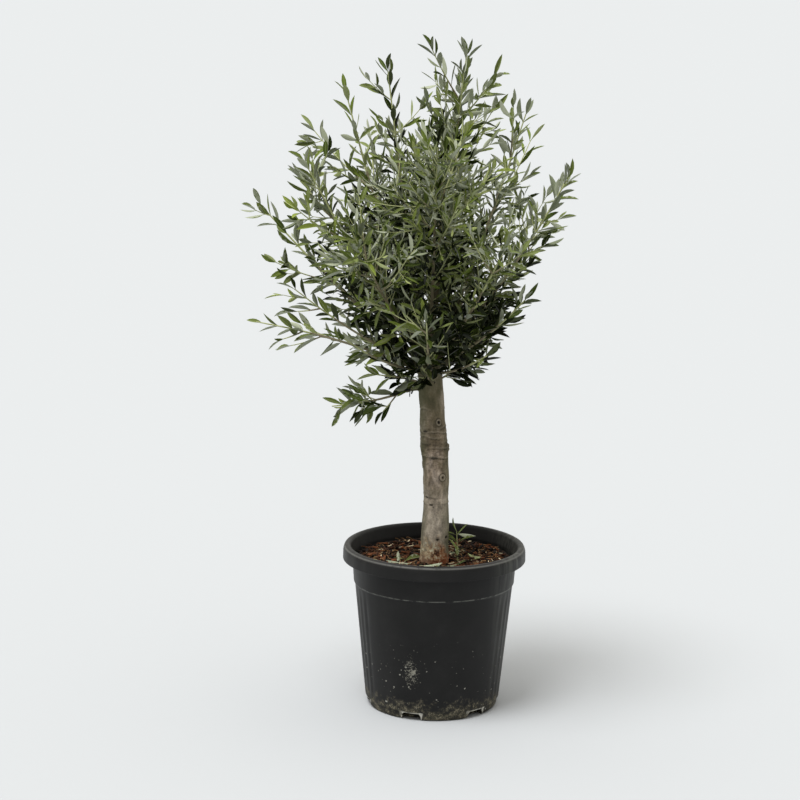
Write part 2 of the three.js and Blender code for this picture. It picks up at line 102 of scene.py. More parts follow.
def heading(angle: float, rise: float) -> Array:
    """Returns the direction at a compass angle and a rise above level, both in degrees."""
    a, r = math.radians(angle), math.radians(rise)
    return np.array([math.cos(r) * math.cos(a), math.cos(r) * math.sin(a), math.sin(r)])


def turned(vector: Array, axis: Array, angle: float) -> Array:
    """Returns a vector turned about a unit axis by an angle in radians."""
    c, s = math.cos(angle), math.sin(angle)
    return vector * c + np.cross(axis, vector) * s + axis * (axis @ vector) * (1 - c)


def square_to(vector: Array, along: Array) -> Array:
    """Returns a unit vector with its part along a direction taken out."""
    return unit(vector - along * (along @ vector))


def crossways(along: Array, turn: float = 0.0) -> Array:
    """Returns a unit vector square to a direction, turned about it by an angle in radians."""
    reference = BACK if abs(along[2]) > 0.9 else UP
    return turned(unit(np.cross(along, reference)), along, turn)


def leaning(along: Array, outward: Array, opening: float) -> Array:
    """Returns a direction that leaves another one at an angle in degrees, on an outward side."""
    a = math.radians(opening)
    return unit(along * math.cos(a) + outward * math.sin(a))


def mix(low: float, high: float, share: float) -> float:
    """Returns the value at a share of the way from one number to another."""
    return low + (high - low) * share


def smooth_step(value: Array, low: float, high: float) -> Array:
    """Returns 0 below one number, 1 above the other, and a smooth rise between them."""
    t = np.clip((value - low) / (high - low), 0, 1)
    return t * t * (3 - 2 * t)


def before(value: float, zone: Span) -> float:
    """Returns 1 below a zone, 0 above it, and a smooth fall within it."""
    return 1 - float(smooth_step(value, *zone))


class Stream:
    """A repeatable stream of numbers from 0 to 1, the one that the solids are grown by."""

    def __init__(self, seed: int) -> None:
        """Starts the stream at a seed, two numbers in."""
        self.state = seed % 4294967296
        self.next()
        self.next()

    def next(self) -> float:
        """Returns the next number."""
        self.state = (self.state * 1664525 + 1013904223) % 4294967296
        return self.state / 4294967296

    def between(self, low: float, high: float) -> float:
        """Returns the next number, scaled to lie between two values."""
        return mix(low, high, self.next())


class Line:
    """A line through points, measured along its length."""

    def __init__(self, points: Array) -> None:
        """Measures the line through an array of points."""
        self.points = np.asarray(points, float)
        steps = np.linalg.norm(np.diff(self.points, axis=0), axis=1)
        self.marks = np.concatenate([[0.0], np.cumsum(steps)])
        self.length = float(self.marks[-1])

    def at(self, distance: float) -> Array:
        """Returns the point at a distance from the line's start."""
        return np.array([np.interp(distance, self.marks, self.points[:, k]) for k in range(3)])

    def along(self, distance: float) -> Array:
        """Returns the line's direction at a distance from its start."""
        step = self.length / 40
        low, high = max(distance - step, 0), min(distance + step, self.length)
        return unit(self.at(high) - self.at(low))


def bowed(foot: Array, tip: Array, bow: float, steps: int) -> Array:
    """Returns points from a foot to a tip, the middle moved up by the bow's share of the length."""
    t = np.linspace(0, 1, steps + 1)[:, None]
    rise = 4 * bow * np.linalg.norm(tip - foot) * t * (1 - t)
    return foot + (tip - foot) * t + UP * rise


# ---- nodes and pieces
def add_node(tree: bpy.types.NodeTree, kind: str, *inputs: object, **settings: object) -> Node:
    """Adds a node to a shader or geometry tree with its settings, values and links.

    Args:
        tree: the tree.
        kind: the node's type without its prefix.
        inputs: for each socket in use, in order, a value, or a socket or node to link; None skips.
        settings: properties of the node itself.

    Returns:
        The new node.
    """
    prefixes = ("ShaderNode", "GeometryNode", "FunctionNode", "Node")
    made = tree.nodes.new(next(p + kind for p in prefixes if hasattr(bpy.types, p + kind)))
    for key, value in settings.items():
        setattr(made, key, value)
    for socket, value in zip([socket for socket in made.inputs if socket.enabled], inputs):
        if value is not None:
            feed(socket, value)
    return made


def feed(socket: bpy.types.NodeSocket, value: object) -> None:
    """Links an input to a node's first output or to a socket, or sets its value."""
    if isinstance(value, Node):
        value = next(output for output in value.outputs if output.enabled)
    if isinstance(value, bpy.types.NodeSocket):
        socket.id_data.links.new(value, socket)
    else:
        socket.default_value = value


class GeometryTree:
    """A geometry tree with named inputs, which turns one mesh into another."""

    def __init__(self, name: str, **sizes: float | int) -> None:
        """Starts the tree with its name and its named inputs."""
        self.sizes = {key.replace("_", " ").title(): value for key, value in sizes.items()}
        self.tree = bpy.data.node_groups.new(name, "GeometryNodeTree")
        face = self.tree.interface
        face.new_socket("Geometry", in_out="INPUT", socket_type="NodeSocketGeometry")
        for label, value in self.sizes.items():
            kind = "NodeSocketInt" if isinstance(value, int) else "NodeSocketFloat"
            face.new_socket(label, in_out="INPUT", socket_type=kind).default_value = value
        face.new_socket("Geometry", in_out="OUTPUT", socket_type="NodeSocketGeometry")
        self.add = partial(add_node, self.tree)
        self.given = self.add("GroupInput").outputs

    def skinned(self, end: object, held: object, finishes: Iterable["Finish"]) -> Node:
        """Realizes what is made and gives each face the finish that a whole number names.

        Args:
            end: what the tree has made so far.
            held: the number of each face's finish.
            finishes: the finishes in the order of their numbers.

        Returns:
            The last node.
        """
        end = self.add("RealizeInstances", end)
        for number, finish in enumerate(finishes):
            chosen = self.add("Compare", held, number, data_type="INT", operation="EQUAL")
            end = self.add("SetMaterial", end, chosen, finish.material())
        return end

    def run(self, end: Node, mesh: Mesh) -> Mesh:
        """Runs the tree, which ends at a node, on a mesh that is used up, and returns the result."""
        self.add("GroupOutput", end)
        holder = held_by(mesh)
        modifier = holder.modifiers.new(self.tree.name, "NODES")
        modifier.node_group = self.tree
        for item in self.tree.interface.items_tree:
            if item.in_out == "INPUT" and item.name in self.sizes:
                modifier[item.identifier] = self.sizes[item.name]
        return applied(holder)


def held_by(mesh: Mesh) -> bpy.types.Object:
    """Returns a new object in the scene that holds a mesh."""
    made = bpy.data.objects.new(mesh.name, mesh)
    bpy.context.scene.collection.objects.link(made)
    return made


def applied(holder: bpy.types.Object) -> Mesh:
    """Returns an object's mesh with its modifiers applied, and removes the object."""
    made = bpy.data.meshes.new_from_object(
        holder.evaluated_get(bpy.context.evaluated_depsgraph_get())
    )
    source = holder.data
    bpy.data.objects.remove(holder)
    bpy.data.meshes.remove(source)
    return made


def mesh_of(
    name: str, points: Array, faces: Iterable[Sequence[int]] = (), edges: Iterable[Sequence[int]] = ()
) -> Mesh:
    """Returns a mesh with smooth faces from points in millimetres, and its faces or edges."""
    mesh = bpy.data.meshes.new(name)
    mesh.from_pydata((np.asarray(points) * MM).tolist(), list(edges), [list(f) for f in faces])
    mesh.shade_smooth()
    return mesh


def spots_of(mesh: Mesh) -> Array:
    """Returns the places of a mesh's vertices in millimetres."""
    spots = np.empty(len(mesh.vertices) * 3)
    mesh.vertices.foreach_get("co", spots)
    return spots.reshape(-1, 3) / MM


def add_attribute(mesh: Mesh, name: str, domain: str, values: Array) -> None:
    """Stores an array on a mesh as a named attribute, of the kind that the array holds."""
    kinds = {"f": ("FLOAT", np.float32), "i": ("INT", np.int32), "b": ("BOOLEAN", bool)}
    kind, held = kinds[values.dtype.kind]
    kind, word = ("FLOAT_VECTOR", "vector") if values.ndim > 1 else (kind, "value")
    mesh.attributes.new(name, kind, domain).data.foreach_set(word, values.astype(held).ravel())


def add_piece(name: str, mesh: Mesh, nodes: Iterable[str] = ()) -> None:
    """Adds a finished mesh as a piece of the tree.

    Args:
        name: the piece's name.
        mesh: its mesh, in place.
        nodes: the solids that it stands for.
    """
    mesh.name = name
    made = held_by(mesh)
    made.name = name
    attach(made, BODY)
    if nodes:
        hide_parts(*nodes)
    log.info("%s: %d faces, stands for %d solids", name, len(mesh.polygons), len(list(nodes)))


# ---- finishes
Add = Callable[..., Node]


def per(size: float) -> float:
    """Returns the pattern scale that makes its spots a size in millimetres across."""
    return 1 / (size * MM)


def shades(add: Add, pattern: object, *stops: tuple[float, str]) -> bpy.types.NodeSocket:
    """Returns a pattern's colours, from hex colours at values of the pattern."""
    made = add("ValToRGB", pattern)
    while len(made.color_ramp.elements) < len(stops):
        made.color_ramp.elements.new(0.5)
    for element, (place, colour) in zip(made.color_ramp.elements, stops):
        element.position, element.color = place, linear(colour)
    return made.outputs["Color"]


def both(add: Add, *masks: object) -> object:
    """Returns the product of two or more values: for masks from 0 to 1, where they hold together."""
    made = masks[0]
    for mask in masks[1:]:
        made = add("Math", made, mask, operation="MULTIPLY")
    return made


def stained(add: Add, colour: object, where: object, tint: str) -> Node:
    """Returns a colour with a hex colour laid over it where a mask says."""
    return add("Mix", where, colour, linear(tint), data_type="RGBA")


def zoned(add: Add, colour: object, value: object, zone: Span, most: float, tint: str) -> Node:
    """Returns a colour with a tint laid over it, up to a share, as a value runs through a zone."""
    return stained(add, colour, add("MapRange", value, *zone, 0.0, most), tint)


def off_level(add: Add, value: object, level: float) -> Node:
    """Returns how far a value is from a level, above or below it."""
    return add("Math", add("Math", value, level, operation="SUBTRACT"), operation="ABSOLUTE")


@dataclass(frozen=True)
class Finish:
    """What every finish shares: one material, made once and looked up by its name."""

    name: str
    roughness: float = 0.9
    specular: float = 0.2

    def material(self) -> bpy.types.Material:
        """Returns the finish's material."""
        known = bpy.data.materials.get(self.name)
        if known:
            return known
        made = bpy.data.materials.new(self.name)
        made.use_nodes = True
        shader = made.node_tree.nodes["Principled BSDF"].inputs
        shader["Roughness"].default_value = self.roughness
        shader["Specular IOR Level"].default_value = self.specular
        self.dress(partial(add_node, made.node_tree), shader)
        return made

    def dress(self, add: Add, shader: Inputs) -> None:
        """Adds what the finish has beside its gloss."""
        raise NotImplementedError


def finished(mesh: Mesh, finish: Finish) -> Mesh:
    """Returns a mesh with one finish all over it."""
    mesh.materials.clear()
    mesh.materials.append(finish.material())
    return mesh


@dataclass(frozen=True)
class PlainSkin(Finish):
    """A skin of one colour, so that each small thing keeps its own in the exported model."""

    colour: str = "#808080"
    sheen: float = 0.0

    def dress(self, add: Add, shader: Inputs) -> None:
        """Sets the colour and the bloom."""
        shader["Base Color"].default_value = linear(self.colour)
        shader["Sheen Weight"].default_value = self.sheen


class Tone(IntEnum):
    """The tones that sprays are dealt: five from painted deep shade to silver, then young growth."""

    DEEP = 0
    DARK = 1
    OLIVE = 2
    GREY = 3
    SAGE = 4
    FRESH = 5
    YOUNG = 6


class Side(IntEnum):
    """The parts of a leaf that have a colour of their own."""

    UPPER = 0
    RIB = 1
    UNDER = 2


# The colours of a leaf's upper side, rib and back in each tone; the deep and dark tones hold painted shade.
LEAF_COLOURS = {
    Tone.DEEP: ("#0e1402", "#454d2c", "#1d2411"),
    Tone.DARK: ("#202b09", "#5f6940", "#454d31"),
    Tone.OLIVE: ("#43511c", "#7b8458", "#747b63"),
    Tone.GREY: ("#58642c", "#8a9268", "#8f957f"),
    Tone.SAGE: ("#6a7541", "#8f976e", "#a3a992"),
    Tone.FRESH: ("#66762e", "#99a368", "#8a9366"),
    Tone.YOUNG: ("#808e40", "#a3ad70", "#97a165"),
}


def blade_finishes() -> list[Finish]:
    """Returns the finish of each part of a leaf in each tone, tone by tone.

    An olive leaf is leathery. Wax makes its upper side dark with a soft gloss; tiny scales make
    its back dull, pale and silvery. The rib shows as a thin pale line.
    """
    parts = ((Side.UPPER, 0.48, 0.0), (Side.RIB, 0.55, 0.0), (Side.UNDER, 0.75, 0.1))
    shade_gloss, waxed = 0.05, 0.14  # the gloss of the tones with painted shade, kept low so that their shade stays dark, and of the lit tones
    made: list[Finish] = []
    for tone, colours in LEAF_COLOURS.items():
        gloss = waxed if tone > Tone.DARK else shade_gloss
        for side, rough, sheen in parts:
            name = f"leaf_{side.name}_{tone.name}".lower()
            made.append(PlainSkin(name, rough, gloss, colours[side], sheen))
    return made


# Thin smooth bark: grey on last year's twigs, green and a little waxy on this year's.
TWIG_SKINS = (
    PlainSkin("last_years_twig", 0.7, 0.3, "#7f785f"),
    PlainSkin("this_years_twig", 0.55, 0.3, "#a3a878"),
)

# Dry litter: torn bark in red-browns, coir strands, and chips of weathered wood, all dull.
LITTER_SKINS = tuple(
    PlainSkin(f"{word}_litter_{number}", 0.9, 0.2, colour)
    for word, shades in (
        ("bark", ("#3b2011", "#120904", "#633b22")),
        ("coir", ("#3f2817", "#8a6a48", "#21130a")),
        ("chip", ("#6e573e", "#cbbd9e", "#3f2f20")),
    )
    for number, colour in enumerate(shades)
)


@dataclass(frozen=True)
class OliveBark(Finish):
    """Young olive bark: smooth and grey-brown, in pale patches with fine creases.

    It gives the eye a dull skin with soft clouds of tan and grey, black in the hearts of its
    scars, partly as painted shade, green with algae under the crown, green-grey at its left and
    right sides, partly algae and partly painted shade, painted shade in its creases and grooves,
    painted highlights on its folds and collars, and flaking red-brown at the foot.
    """

    name: str = "young_olive_bark"
    roughness: float = 0.8
    # The sizes of the patterns, in millimetres across.
    clouds: float = 34.0
    mottle: float = 9.0
    grain: float = 3.0
    wrinkles: float = 24.0
    flakes: float = 7.0
    # Heights and places on the trunk, in metres.
    foot_top: float = 0.309  # up to where the foot flakes
    foot_fade: Span = (-0.072, -0.056)  # below that height, as the clouds bend it
    pale_zone: Span = (0.44, 0.36)
    green_zone: Span = (0.50, 0.62)
    green_and_shaded_side: Span = (0.012, 0.026)  # out from the middle, to either side: a green tinge and painted shade on the flanks
    red_zone: Span = (0.294, 0.276)
    rusty_side: Span = (0.004, 0.018)
    dry_side: Span = (0.0, -0.014)
    wrinkled: Span = (0.500, 0.055)  # the middle and the reach of the creased part
    cloud_colours: Stops = ((0.36, "#53493a"), (0.46, "#706452"), (0.55, "#8b7d6d"), (0.64, "#aa9c8d"))
    flake_colours: Stops = (
        (0.42, "#20110a"), (0.47, "#6b452c"), (0.52, "#96724f"), (0.57, "#b3a486"), (0.63, "#cfcbb4")
    )

    def dress(self, add: Add, shader: Inputs) -> None:
        """Adds clouds, mottling, algae, painted shade on the sides and in the wrinkles, the flaking foot,
        and the scars with their painted shade and highlights.
        """
        place = add("TexCoord").outputs["Object"]
        axes = add("SeparateXYZ", place).outputs
        aside, height = axes["X"], axes["Z"]
        tall = add("Mapping", place, None, None, (1, 1, 0.5))
        clouds = add("TexNoise", tall, per(self.clouds), 4.0, 0.6)
        colour = shades(add, clouds, *self.cloud_colours)
        colour = zoned(add, colour, height, self.pale_zone, 0.5, "#a8a294")
        mottle = add("TexNoise", tall, per(self.mottle), 4.0, 0.65)
        grain = add("TexNoise", place, per(self.grain), 3.0, 0.6)
        for pattern, least, most in ((mottle, 0.62, 1.3), (grain, 0.85, 1.12)):
            freckles = add("MapRange", pattern, 0.36, 0.62, least, most)
            colour = add("Mix", 1.0, colour, freckles, data_type="RGBA", blend_type="MULTIPLY")
        # A green-grey on the left and right flanks: partly algae, partly painted shade where the trunk
        # turns away.
        colour = zoned(add, colour, off_level(add, aside, 0.0), self.green_and_shaded_side, 0.65, "#57583f")
        colour = zoned(add, colour, height, self.green_zone, 0.6, "#55563b")
        creased = self.creased(add, place, height)
        # Painted shade in the wrinkles.
        colour = stained(add, colour, creased, "#2e281d")

        torn = add("TexNoise", place, per(self.flakes), 5.0, 0.65)
        rust = shades(add, torn, *self.flake_colours)
        for value, zone, most, tint in (
            (aside, self.rusty_side, 0.5, "#8f5530"),
            (aside, self.dry_side, 0.35, "#b9b69b"),
            (height, self.red_zone, 0.55, "#70371c"),
        ):
            rust = zoned(add, rust, value, zone, most, tint)
        edge = add("Math", clouds, -0.12, height, operation="MULTIPLY_ADD")
        low = add("MapRange", edge, *np.add(self.foot_top, self.foot_fade), 0.95, 0.0)
        colour = add("Mix", low, colour, rust, data_type="RGBA")
        # The marks carved into the skin: dark scars with painted shade in the creases and grooves, and
        # painted highlights on the folds and collars.
        for mark, tint in (("scar", "#15110c"), ("pale", "#b3a996")):
            where = add("Attribute", attribute_name=mark).outputs["Fac"]
            colour = stained(add, colour, where, tint)
        feed(shader["Base Color"], colour)
        rough = add("Math", both(add, torn, low), 2.0, grain, operation="MULTIPLY_ADD")
        rough = add("Math", creased, -0.8, rough, operation="MULTIPLY_ADD")
        feed(shader["Normal"], add("Bump", 0.6, 0.9 * MM, None, rough))

    def creased(self, add: Add, place: object, height: object) -> object:
        """Returns the mask of the wrinkles: thin lines where a flat noise passes its middle."""
        flat = add("Mapping", place, None, None, (1, 1, 4.2))
        wide = add("TexNoise", flat, per(self.wrinkles), 3.0, 0.55)
        thin = add("MapRange", off_level(add, wide, 0.5), 0.0, 0.022, 1.0, 0.0)
        middle, reach = self.wrinkled
        high = off_level(add, height, middle)
        return both(add, thin, add("MapRange", high, reach * 0.6, reach, 0.75, 0.2))


@dataclass(frozen=True)
class PotPlastic(Finish):
    """Black polypropylene, injection-moulded in one piece and weathered outdoors.

    It gives the eye a charcoal satin, greyer where sun has chalked the ribbed sides, partly as
    painted highlights, with dried soil along the foot, a splash of lime low on the front, scuffed
    edges, and a painted highlight along the lip's crest.
    """

    name: str = "moulded_polypropylene"
    # Places on the pot, in metres.
    splash: Triple = (-0.038, -0.128, 0.094)
    splash_reach: Triple = (0.015, 0.03, 0.03)
    collar_foot: float = 0.2352
    collar_side: Span = (0.1475, 0.1482)  # the radii between which the collar stands out
    # Where the painted highlight along the lip's crest lies.
    lip_side: Span = (0.1655, 0.1675)
    lip_top: Span = (0.2995, 0.302)
    dirt_top: float = 0.040
    dirt_fade: Span = (-0.075, -0.048)  # below that height, as the crumbs bend it
    speckled: Span = (0.09, 0.16)  # the heights over which the lime specks end
    # Pale streaks on the sides: partly chalking, partly painted highlight.
    right_chalk_and_highlight: Span = (0.1, 0.145)
    left_chalk_and_highlight: Span = (-0.1, -0.145)
    plastic_colours: Stops = ((0.3, "#121212"), (0.55, "#181818"), (0.75, "#202020"))
    soil_colours: Stops = ((0.36, "#33322a"), (0.5, "#5e5a4a"), (0.62, "#8b846f"))

    def dress(self, add: Add, shader: Inputs) -> None:
        """Adds chalking with painted highlights, soil, splashes, scuffs, a painted highlight on the lip and
        the moulded skin.
        """
        place = add("TexCoord").outputs["Object"]
        axes = add("SeparateXYZ", place).outputs
        cloud = add("TexNoise", place, per(60), 4.0, 0.6)
        colour = shades(add, cloud, *self.plastic_colours)

        # Pale streaks on the ribbed left and right sides: partly chalking, partly painted highlight.
        streaks = add("TexNoise", add("Mapping", place, None, None, (1, 1, 0.06)), per(9), 3.0, 0.6)
        right = add("MapRange", axes["X"], *self.right_chalk_and_highlight, 0.0, 0.5)
        left = add("MapRange", axes["X"], *self.left_chalk_and_highlight, 0.0, 0.12)
        chalk_and_highlight = both(add, add("Math", right, left), add("MapRange", streaks, 0.4, 0.62, 0.1, 1.0))
        colour = stained(add, colour, chalk_and_highlight, "#565852")

        crumbs = add("TexNoise", place, per(12), 6.0, 0.65)
        reach = add("Math", crumbs, -0.09, axes["Z"], operation="MULTIPLY_ADD")
        foot = add("MapRange", reach, *np.add(self.dirt_top, self.dirt_fade), 0.95, 0.0)
        grit = add("MapRange", add("TexNoise", place, per(2.6), 4.0, 0.65), 0.44, 0.6, 0.2, 1.0)
        soiled = both(add, foot, grit)
        colour = add("Mix", soiled, colour, shades(add, crumbs, *self.soil_colours), data_type="RGBA")
        colour = self.splashed(add, colour, place, axes["Z"])
        feed(shader["Base Color"], self.scuffed(add, colour, place, axes))

        dull = add("MapRange", cloud, 0.3, 0.7, 0.42, 0.56)
        feed(shader["Roughness"], add("Math", soiled, 0.35, dull, operation="MULTIPLY_ADD"))
        relief = add("Math", soiled, 2.0, add("TexNoise", place, per(1.6), 2.0), operation="MULTIPLY_ADD")
        feed(shader["Normal"], add("Bump", 0.25, 0.25 * MM, None, relief))

    def splashed(self, add: Add, colour: object, place: object, height: object) -> object:
        """Returns a colour with the splash of lime and its drops laid over it."""
        away = add("VectorMath", place, self.splash, operation="SUBTRACT")
        away = add("VectorMath", away, self.splash_reach, operation="DIVIDE")
        away = add("VectorMath", away, operation="LENGTH")
        near = add("MapRange", away, 0.0, 1.8, 0.25, 0.0)
        fine = add("TexNoise", place, per(8), 8.0, 0.72, 2.0, 1.6)
        colour = zoned(add, colour, add("Math", fine, near), (0.7, 0.78), 0.9, "#8a887d")
        low = add("MapRange", height, *self.speckled, 1.0, 0.0)
        about = add("MapRange", away, 1.0, 5.0, 1.0, 0.6)
        bent = add("TexNoise", place, per(7), 3.0).outputs["Color"]
        bent = add("VectorMath", bent, (0.007, 0.007, 0.007), place, operation="MULTIPLY_ADD")
        for size, rare, tint in ((13, 0.42, "#a3a298"), (8, 0.5, "#7d7c72")):
            cells = add("TexVoronoi", bent, per(size)).outputs
            drop = add("MapRange", cells["Distance"], 0.07, 0.15, 1.0, 0.0)
            chosen = both(add, add("SeparateColor", cells["Color"]), about)
            few = add("MapRange", chosen, rare, rare + 0.02)
            colour = stained(add, colour, both(add, drop, few, low), tint)
        return colour

    def scuffed(self, add: Add, colour: object, place: object, axes: bpy.types.NodeOutputs) -> object:
        """Returns a colour with a painted highlight along the lip's crest, a pale broken line along the
        collar's foot, and scuffs on the notches' rims.
        """
        flat = add("CombineXYZ", axes["X"], axes["Y"])
        radius = add("VectorMath", flat, operation="LENGTH").outputs["Value"]
        edge = add("MapRange", radius, *self.lip_side, 0.0, 0.5)
        crest = both(add, edge, add("MapRange", axes["Z"], *self.lip_top, 0.0, 1.0))
        collar = add("MapRange", off_level(add, axes["Z"], self.collar_foot), 0.0004, 0.0016, 0.75, 0.0)
        outside = add("MapRange", radius, *self.collar_side, 0.0, 1.0)
        wear = add("Attribute", attribute_name="wear").outputs["Fac"]
        breakup = add("TexNoise", place, per(14), 4.0, 0.6)
        # The lip's crest gets a painted highlight, the collar's foot a pale line, the notches' rims their
        # scuffs.
        for where, least, tint in (
            (crest, 0.3, "#7c7c78"),
            (both(add, collar, outside), 0.42, "#6b6d67"),
            (wear, 0.42, "#cbc9be"),
        ):
            patchy = add("MapRange", breakup, least, least + 0.14, 0.0, 1.0)
            colour = stained(add, colour, both(add, where, patchy), tint)
        return colour


@dataclass(frozen=True)
class PottingMix(Finish):
    """Composted bark and coir, damp, with fine fibres pressed together.

    It gives the eye a dark red-brown crumb with black gaps and no gloss. The black follows
    the hollows of its relief: partly the damp mix's own colour, partly painted shade.
    """

    name: str = "composted_bark_mix"
    roughness: float = 0.95
    crumb_size: float = 6.0
    # The darkest stops fall where the relief is lowest: painted shade between the crumbs, over the mix's
    # own dark brown.
    crumb_colours: Stops = (
        (0.42, "#030201"), (0.5, "#0f0805"), (0.57, "#22150c"), (0.65, "#3a2516"), (0.75, "#5a4129")
    )

    def dress(self, add: Add, shader: Inputs) -> None:
        """Adds crumbs in browns and their relief."""
        crumbs = add("TexNoise", add("TexCoord").outputs["Object"], per(self.crumb_size), 6.0, 0.65)
        feed(shader["Base Color"], shades(add, crumbs, *self.crumb_colours))
        feed(shader["Normal"], add("Bump", 1.0, 3 * MM, None, crumbs))


@dataclass(frozen=True)
class StudioPaper(Finish):
    """Matte background paper: an even pale grey with the faintest tooth."""

    name: str = "background_paper"
    specular: float = 0.0
    colour: str = "#acafb2"

    def dress(self, add: Add, shader: Inputs) -> None:
        """Sets the pale colour and the paper's tooth."""
        shader["Base Color"].default_value = linear(self.colour)
        tooth = add("TexNoise", add("TexCoord").outputs["Object"], per(2), 2.0)
        feed(shader["Normal"], add("Bump", 0.05, 0.1 * MM, None, tooth))


# ---- trunk and limbs
@dataclass(frozen=True)
class Knot:
    """A pruning scar on the trunk: where it is, how big, and how far its collar stands out."""

    height: float
    angle: float
    radius: float
    proud: float
    hole: float = 0.4  # the dark heart's share of the radius
    flat: float = 1.0  # how much wider than tall it is
    ring: float = 0.2  # how deep the groove round it is, how dark its painted shade, and how bright the painted highlight on the collar


@dataclass
class Trunk:
    """The trunk's line and thickness, from the flat cut on the soil to its tip in the crown."""

    heights: Sizes = (270.3, 284, 320, 370, 420, 456, 487, 515, 560, 640, 688, 706.0)
    leans: Sizes = (0, 0.4, 1.2, 1.9, 1.6, -0.2, -2.8, -5, -8.8, -13.5, -15.5, -16.5)
    radii: Sizes = (27.8, 26.6, 25.6, 24, 23.3, 24, 25.6, 24.6, 23.3, 22, 18.5, 14.0)
    knots: tuple[Knot, ...] = (
        Knot(540, -62, 7.0, 2.4, 0.5, 0.8, 0.8),
        Knot(529, -22, 4, 1.8, 0.5),
        Knot(491, -17, 7.4, 4.8, 0.65, 0.85, 0.6),
        Knot(478, -127, 4, 0.8, 0.3, 1.0, 0.5),
        Knot(436, -58, 7, 2.2, 0.3, 1.0, 0.95),
        Knot(520, 130, 7, 3.0, 0.4, 1.0, 0.6),
        Knot(400, 40, 7, 1.6, 0.3, 1.0, 0.6),
        Knot(455, 170, 8, 2.4, 0.35, 1.0, 0.8),
        Knot(585, 60, 7, 1.8, 0.3),
        Knot(322, -38, 5.5, 1.8, 0.6, 1.1),
        Knot(319, -80, 3, 0.4, 0.8, 1.6),
        Knot(473, -93, 3, 0.3, 0.9, 2.8),
        Knot(522, -127, 2.6, 0.3, 0.9, 2.2),
        Knot(398, -138, 2.6, 0.3, 0.7, 2.4),
        Knot(384, -114, 2.8, 0.3, 0.7, 2.2),
        Knot(380, -103, 2.2, 0.3, 0.6, 1.4),
    )
    creases: Sizes = (561, 527, 518, 509, 499, 489, 472, 397, 384)
    sides: int = 40
    ring_step: float = 4.0

    def centre(self, height: float) -> Array:
        """Returns the middle of the trunk at a height."""
        return np.array([np.interp(height, self.heights, self.leans), 0.0, height])

    def radius(self, height: float) -> float:
        """Returns the trunk's radius at a height."""
        return float(np.interp(height, self.heights, self.radii))

    def place_of(self, points: Array) -> tuple[Array, Array]:
        """Returns how far points are outside the trunk's face, and their angle round it in degrees."""
        x = points[:, 0] - np.interp(points[:, 2], self.heights, self.leans)
        off = np.hypot(x, points[:, 1]) - np.interp(points[:, 2], self.heights, self.radii)
        return off, np.degrees(np.arctan2(points[:, 1], x))

    @property
    def line(self) -> Array:
        """The trunk's middle line as points."""
        return np.array([self.centre(height) for height in self.heights])


@dataclass
class Limb:
    """One limb: a bough out of the trunk and the leader that carries its mass of foliage.

    A tuft has no bough: its leader grows from the trunk, at a foot height of its own.
    """

    name: str
    angle: float
    rise: float
    reach: float
    bow: float
    foot: float | None = None
    tuft: bool = False
    fullness: float = 1.0  # the share of its shoots that are there, outside the core
    least: float = 0.0  # how closely it is leafed at least
    kept: float = 1.0  # the share of its stem that is there
    spread: float = 1.0  # how much longer its fine twigs are
    hangs: bool = False  # it grows below the crown's funnel
    # Worked out from these where the crown lays the limb out.
    number: int = 0
    bough: Array | None = None
    leader: Array | None = None
    path: Line | None = None
    split: float = 0.0
    foot_radius: float = 0.0
    tip_radius: float = 0.0


LIMBS = [
    Limb("top", 20, 84, 603, -0.02, foot=700, fullness=0.7, least=0.45, spread=1.35),
    Limb("top_left", 203, 80, 568, -0.03, fullness=0.55, least=0.4, spread=1.35),
    Limb("upper_left", 168, 71, 548, -0.04, fullness=0.7, least=0.1),
    Limb("left_shoulder", 189, 57, 472, -0.04, fullness=0.45, least=0.2),
    Limb("left_long", 174, 41, 466, -0.03, fullness=0.35, least=0.1),
    Limb("left_mid", 198, 28, 340, -0.04, fullness=0.4),
    Limb("left_low", 179, 12, 362, 0.03, least=0.1, fullness=0.3, hangs=True),
    Limb("left_droop", 190, -27, 238, -0.04, fullness=0.9, least=0.85, hangs=True),
    Limb("right_top", 2, 70, 520, -0.04, fullness=0.65),
    Limb("right_out", -17, 54, 472, -0.06, fullness=0.25),
    Limb("right_mid", 27, 45, 376, -0.06, fullness=0.2, kept=0.86),
    Limb("right_low", -34, 34, 312, -0.06, fullness=0.2, kept=0.84),
    Limb("right_bottom", 8, 25, 190, -0.05, fullness=0.5),
    Limb("front_top", -88, 67, 480, -0.05, fullness=0.8, least=0.4, spread=1.3),
    Limb("front_left", -124, 46, 400, -0.05, least=0.5),
    Limb("front_right", -60, 43, 384, -0.05, least=0.5),
    Limb("front_low", -92, 23, 292, -0.06, fullness=0.75, least=0.5),
    Limb("back_top", 84, 66, 490, -0.05, fullness=0.7, least=0.3, spread=1.3),
    Limb("back_left", 124, 46, 410, -0.05, least=0.3),
    Limb("back_right", 63, 42, 392, -0.05, least=0.3),
    Limb("back_low", 92, 23, 296, -0.06, fullness=0.75),
    Limb("front_left_low", -133, 15, 276, -0.05, fullness=0.6),
    Limb("back_left_low", 138, 14, 290, -0.05, fullness=0.6),
    Limb("front_right_low", -58, 10, 232, -0.04, fullness=0.45),
    Limb("back_right_low", 46, 12, 240, -0.04, fullness=0.45),
    Limb("tuft_left", 212, -15, 150, 0.03, foot=604, tuft=True, fullness=0.4),
    Limb("tuft_right", -14, -8, 128, 0.03, foot=606, tuft=True, least=0.4),
    Limb("tuft_front", -102, -12, 118, 0.03, foot=602, tuft=True, least=0.75),
    Limb("tuft_back", 112, -10, 124, 0.03, foot=606, tuft=True),
]


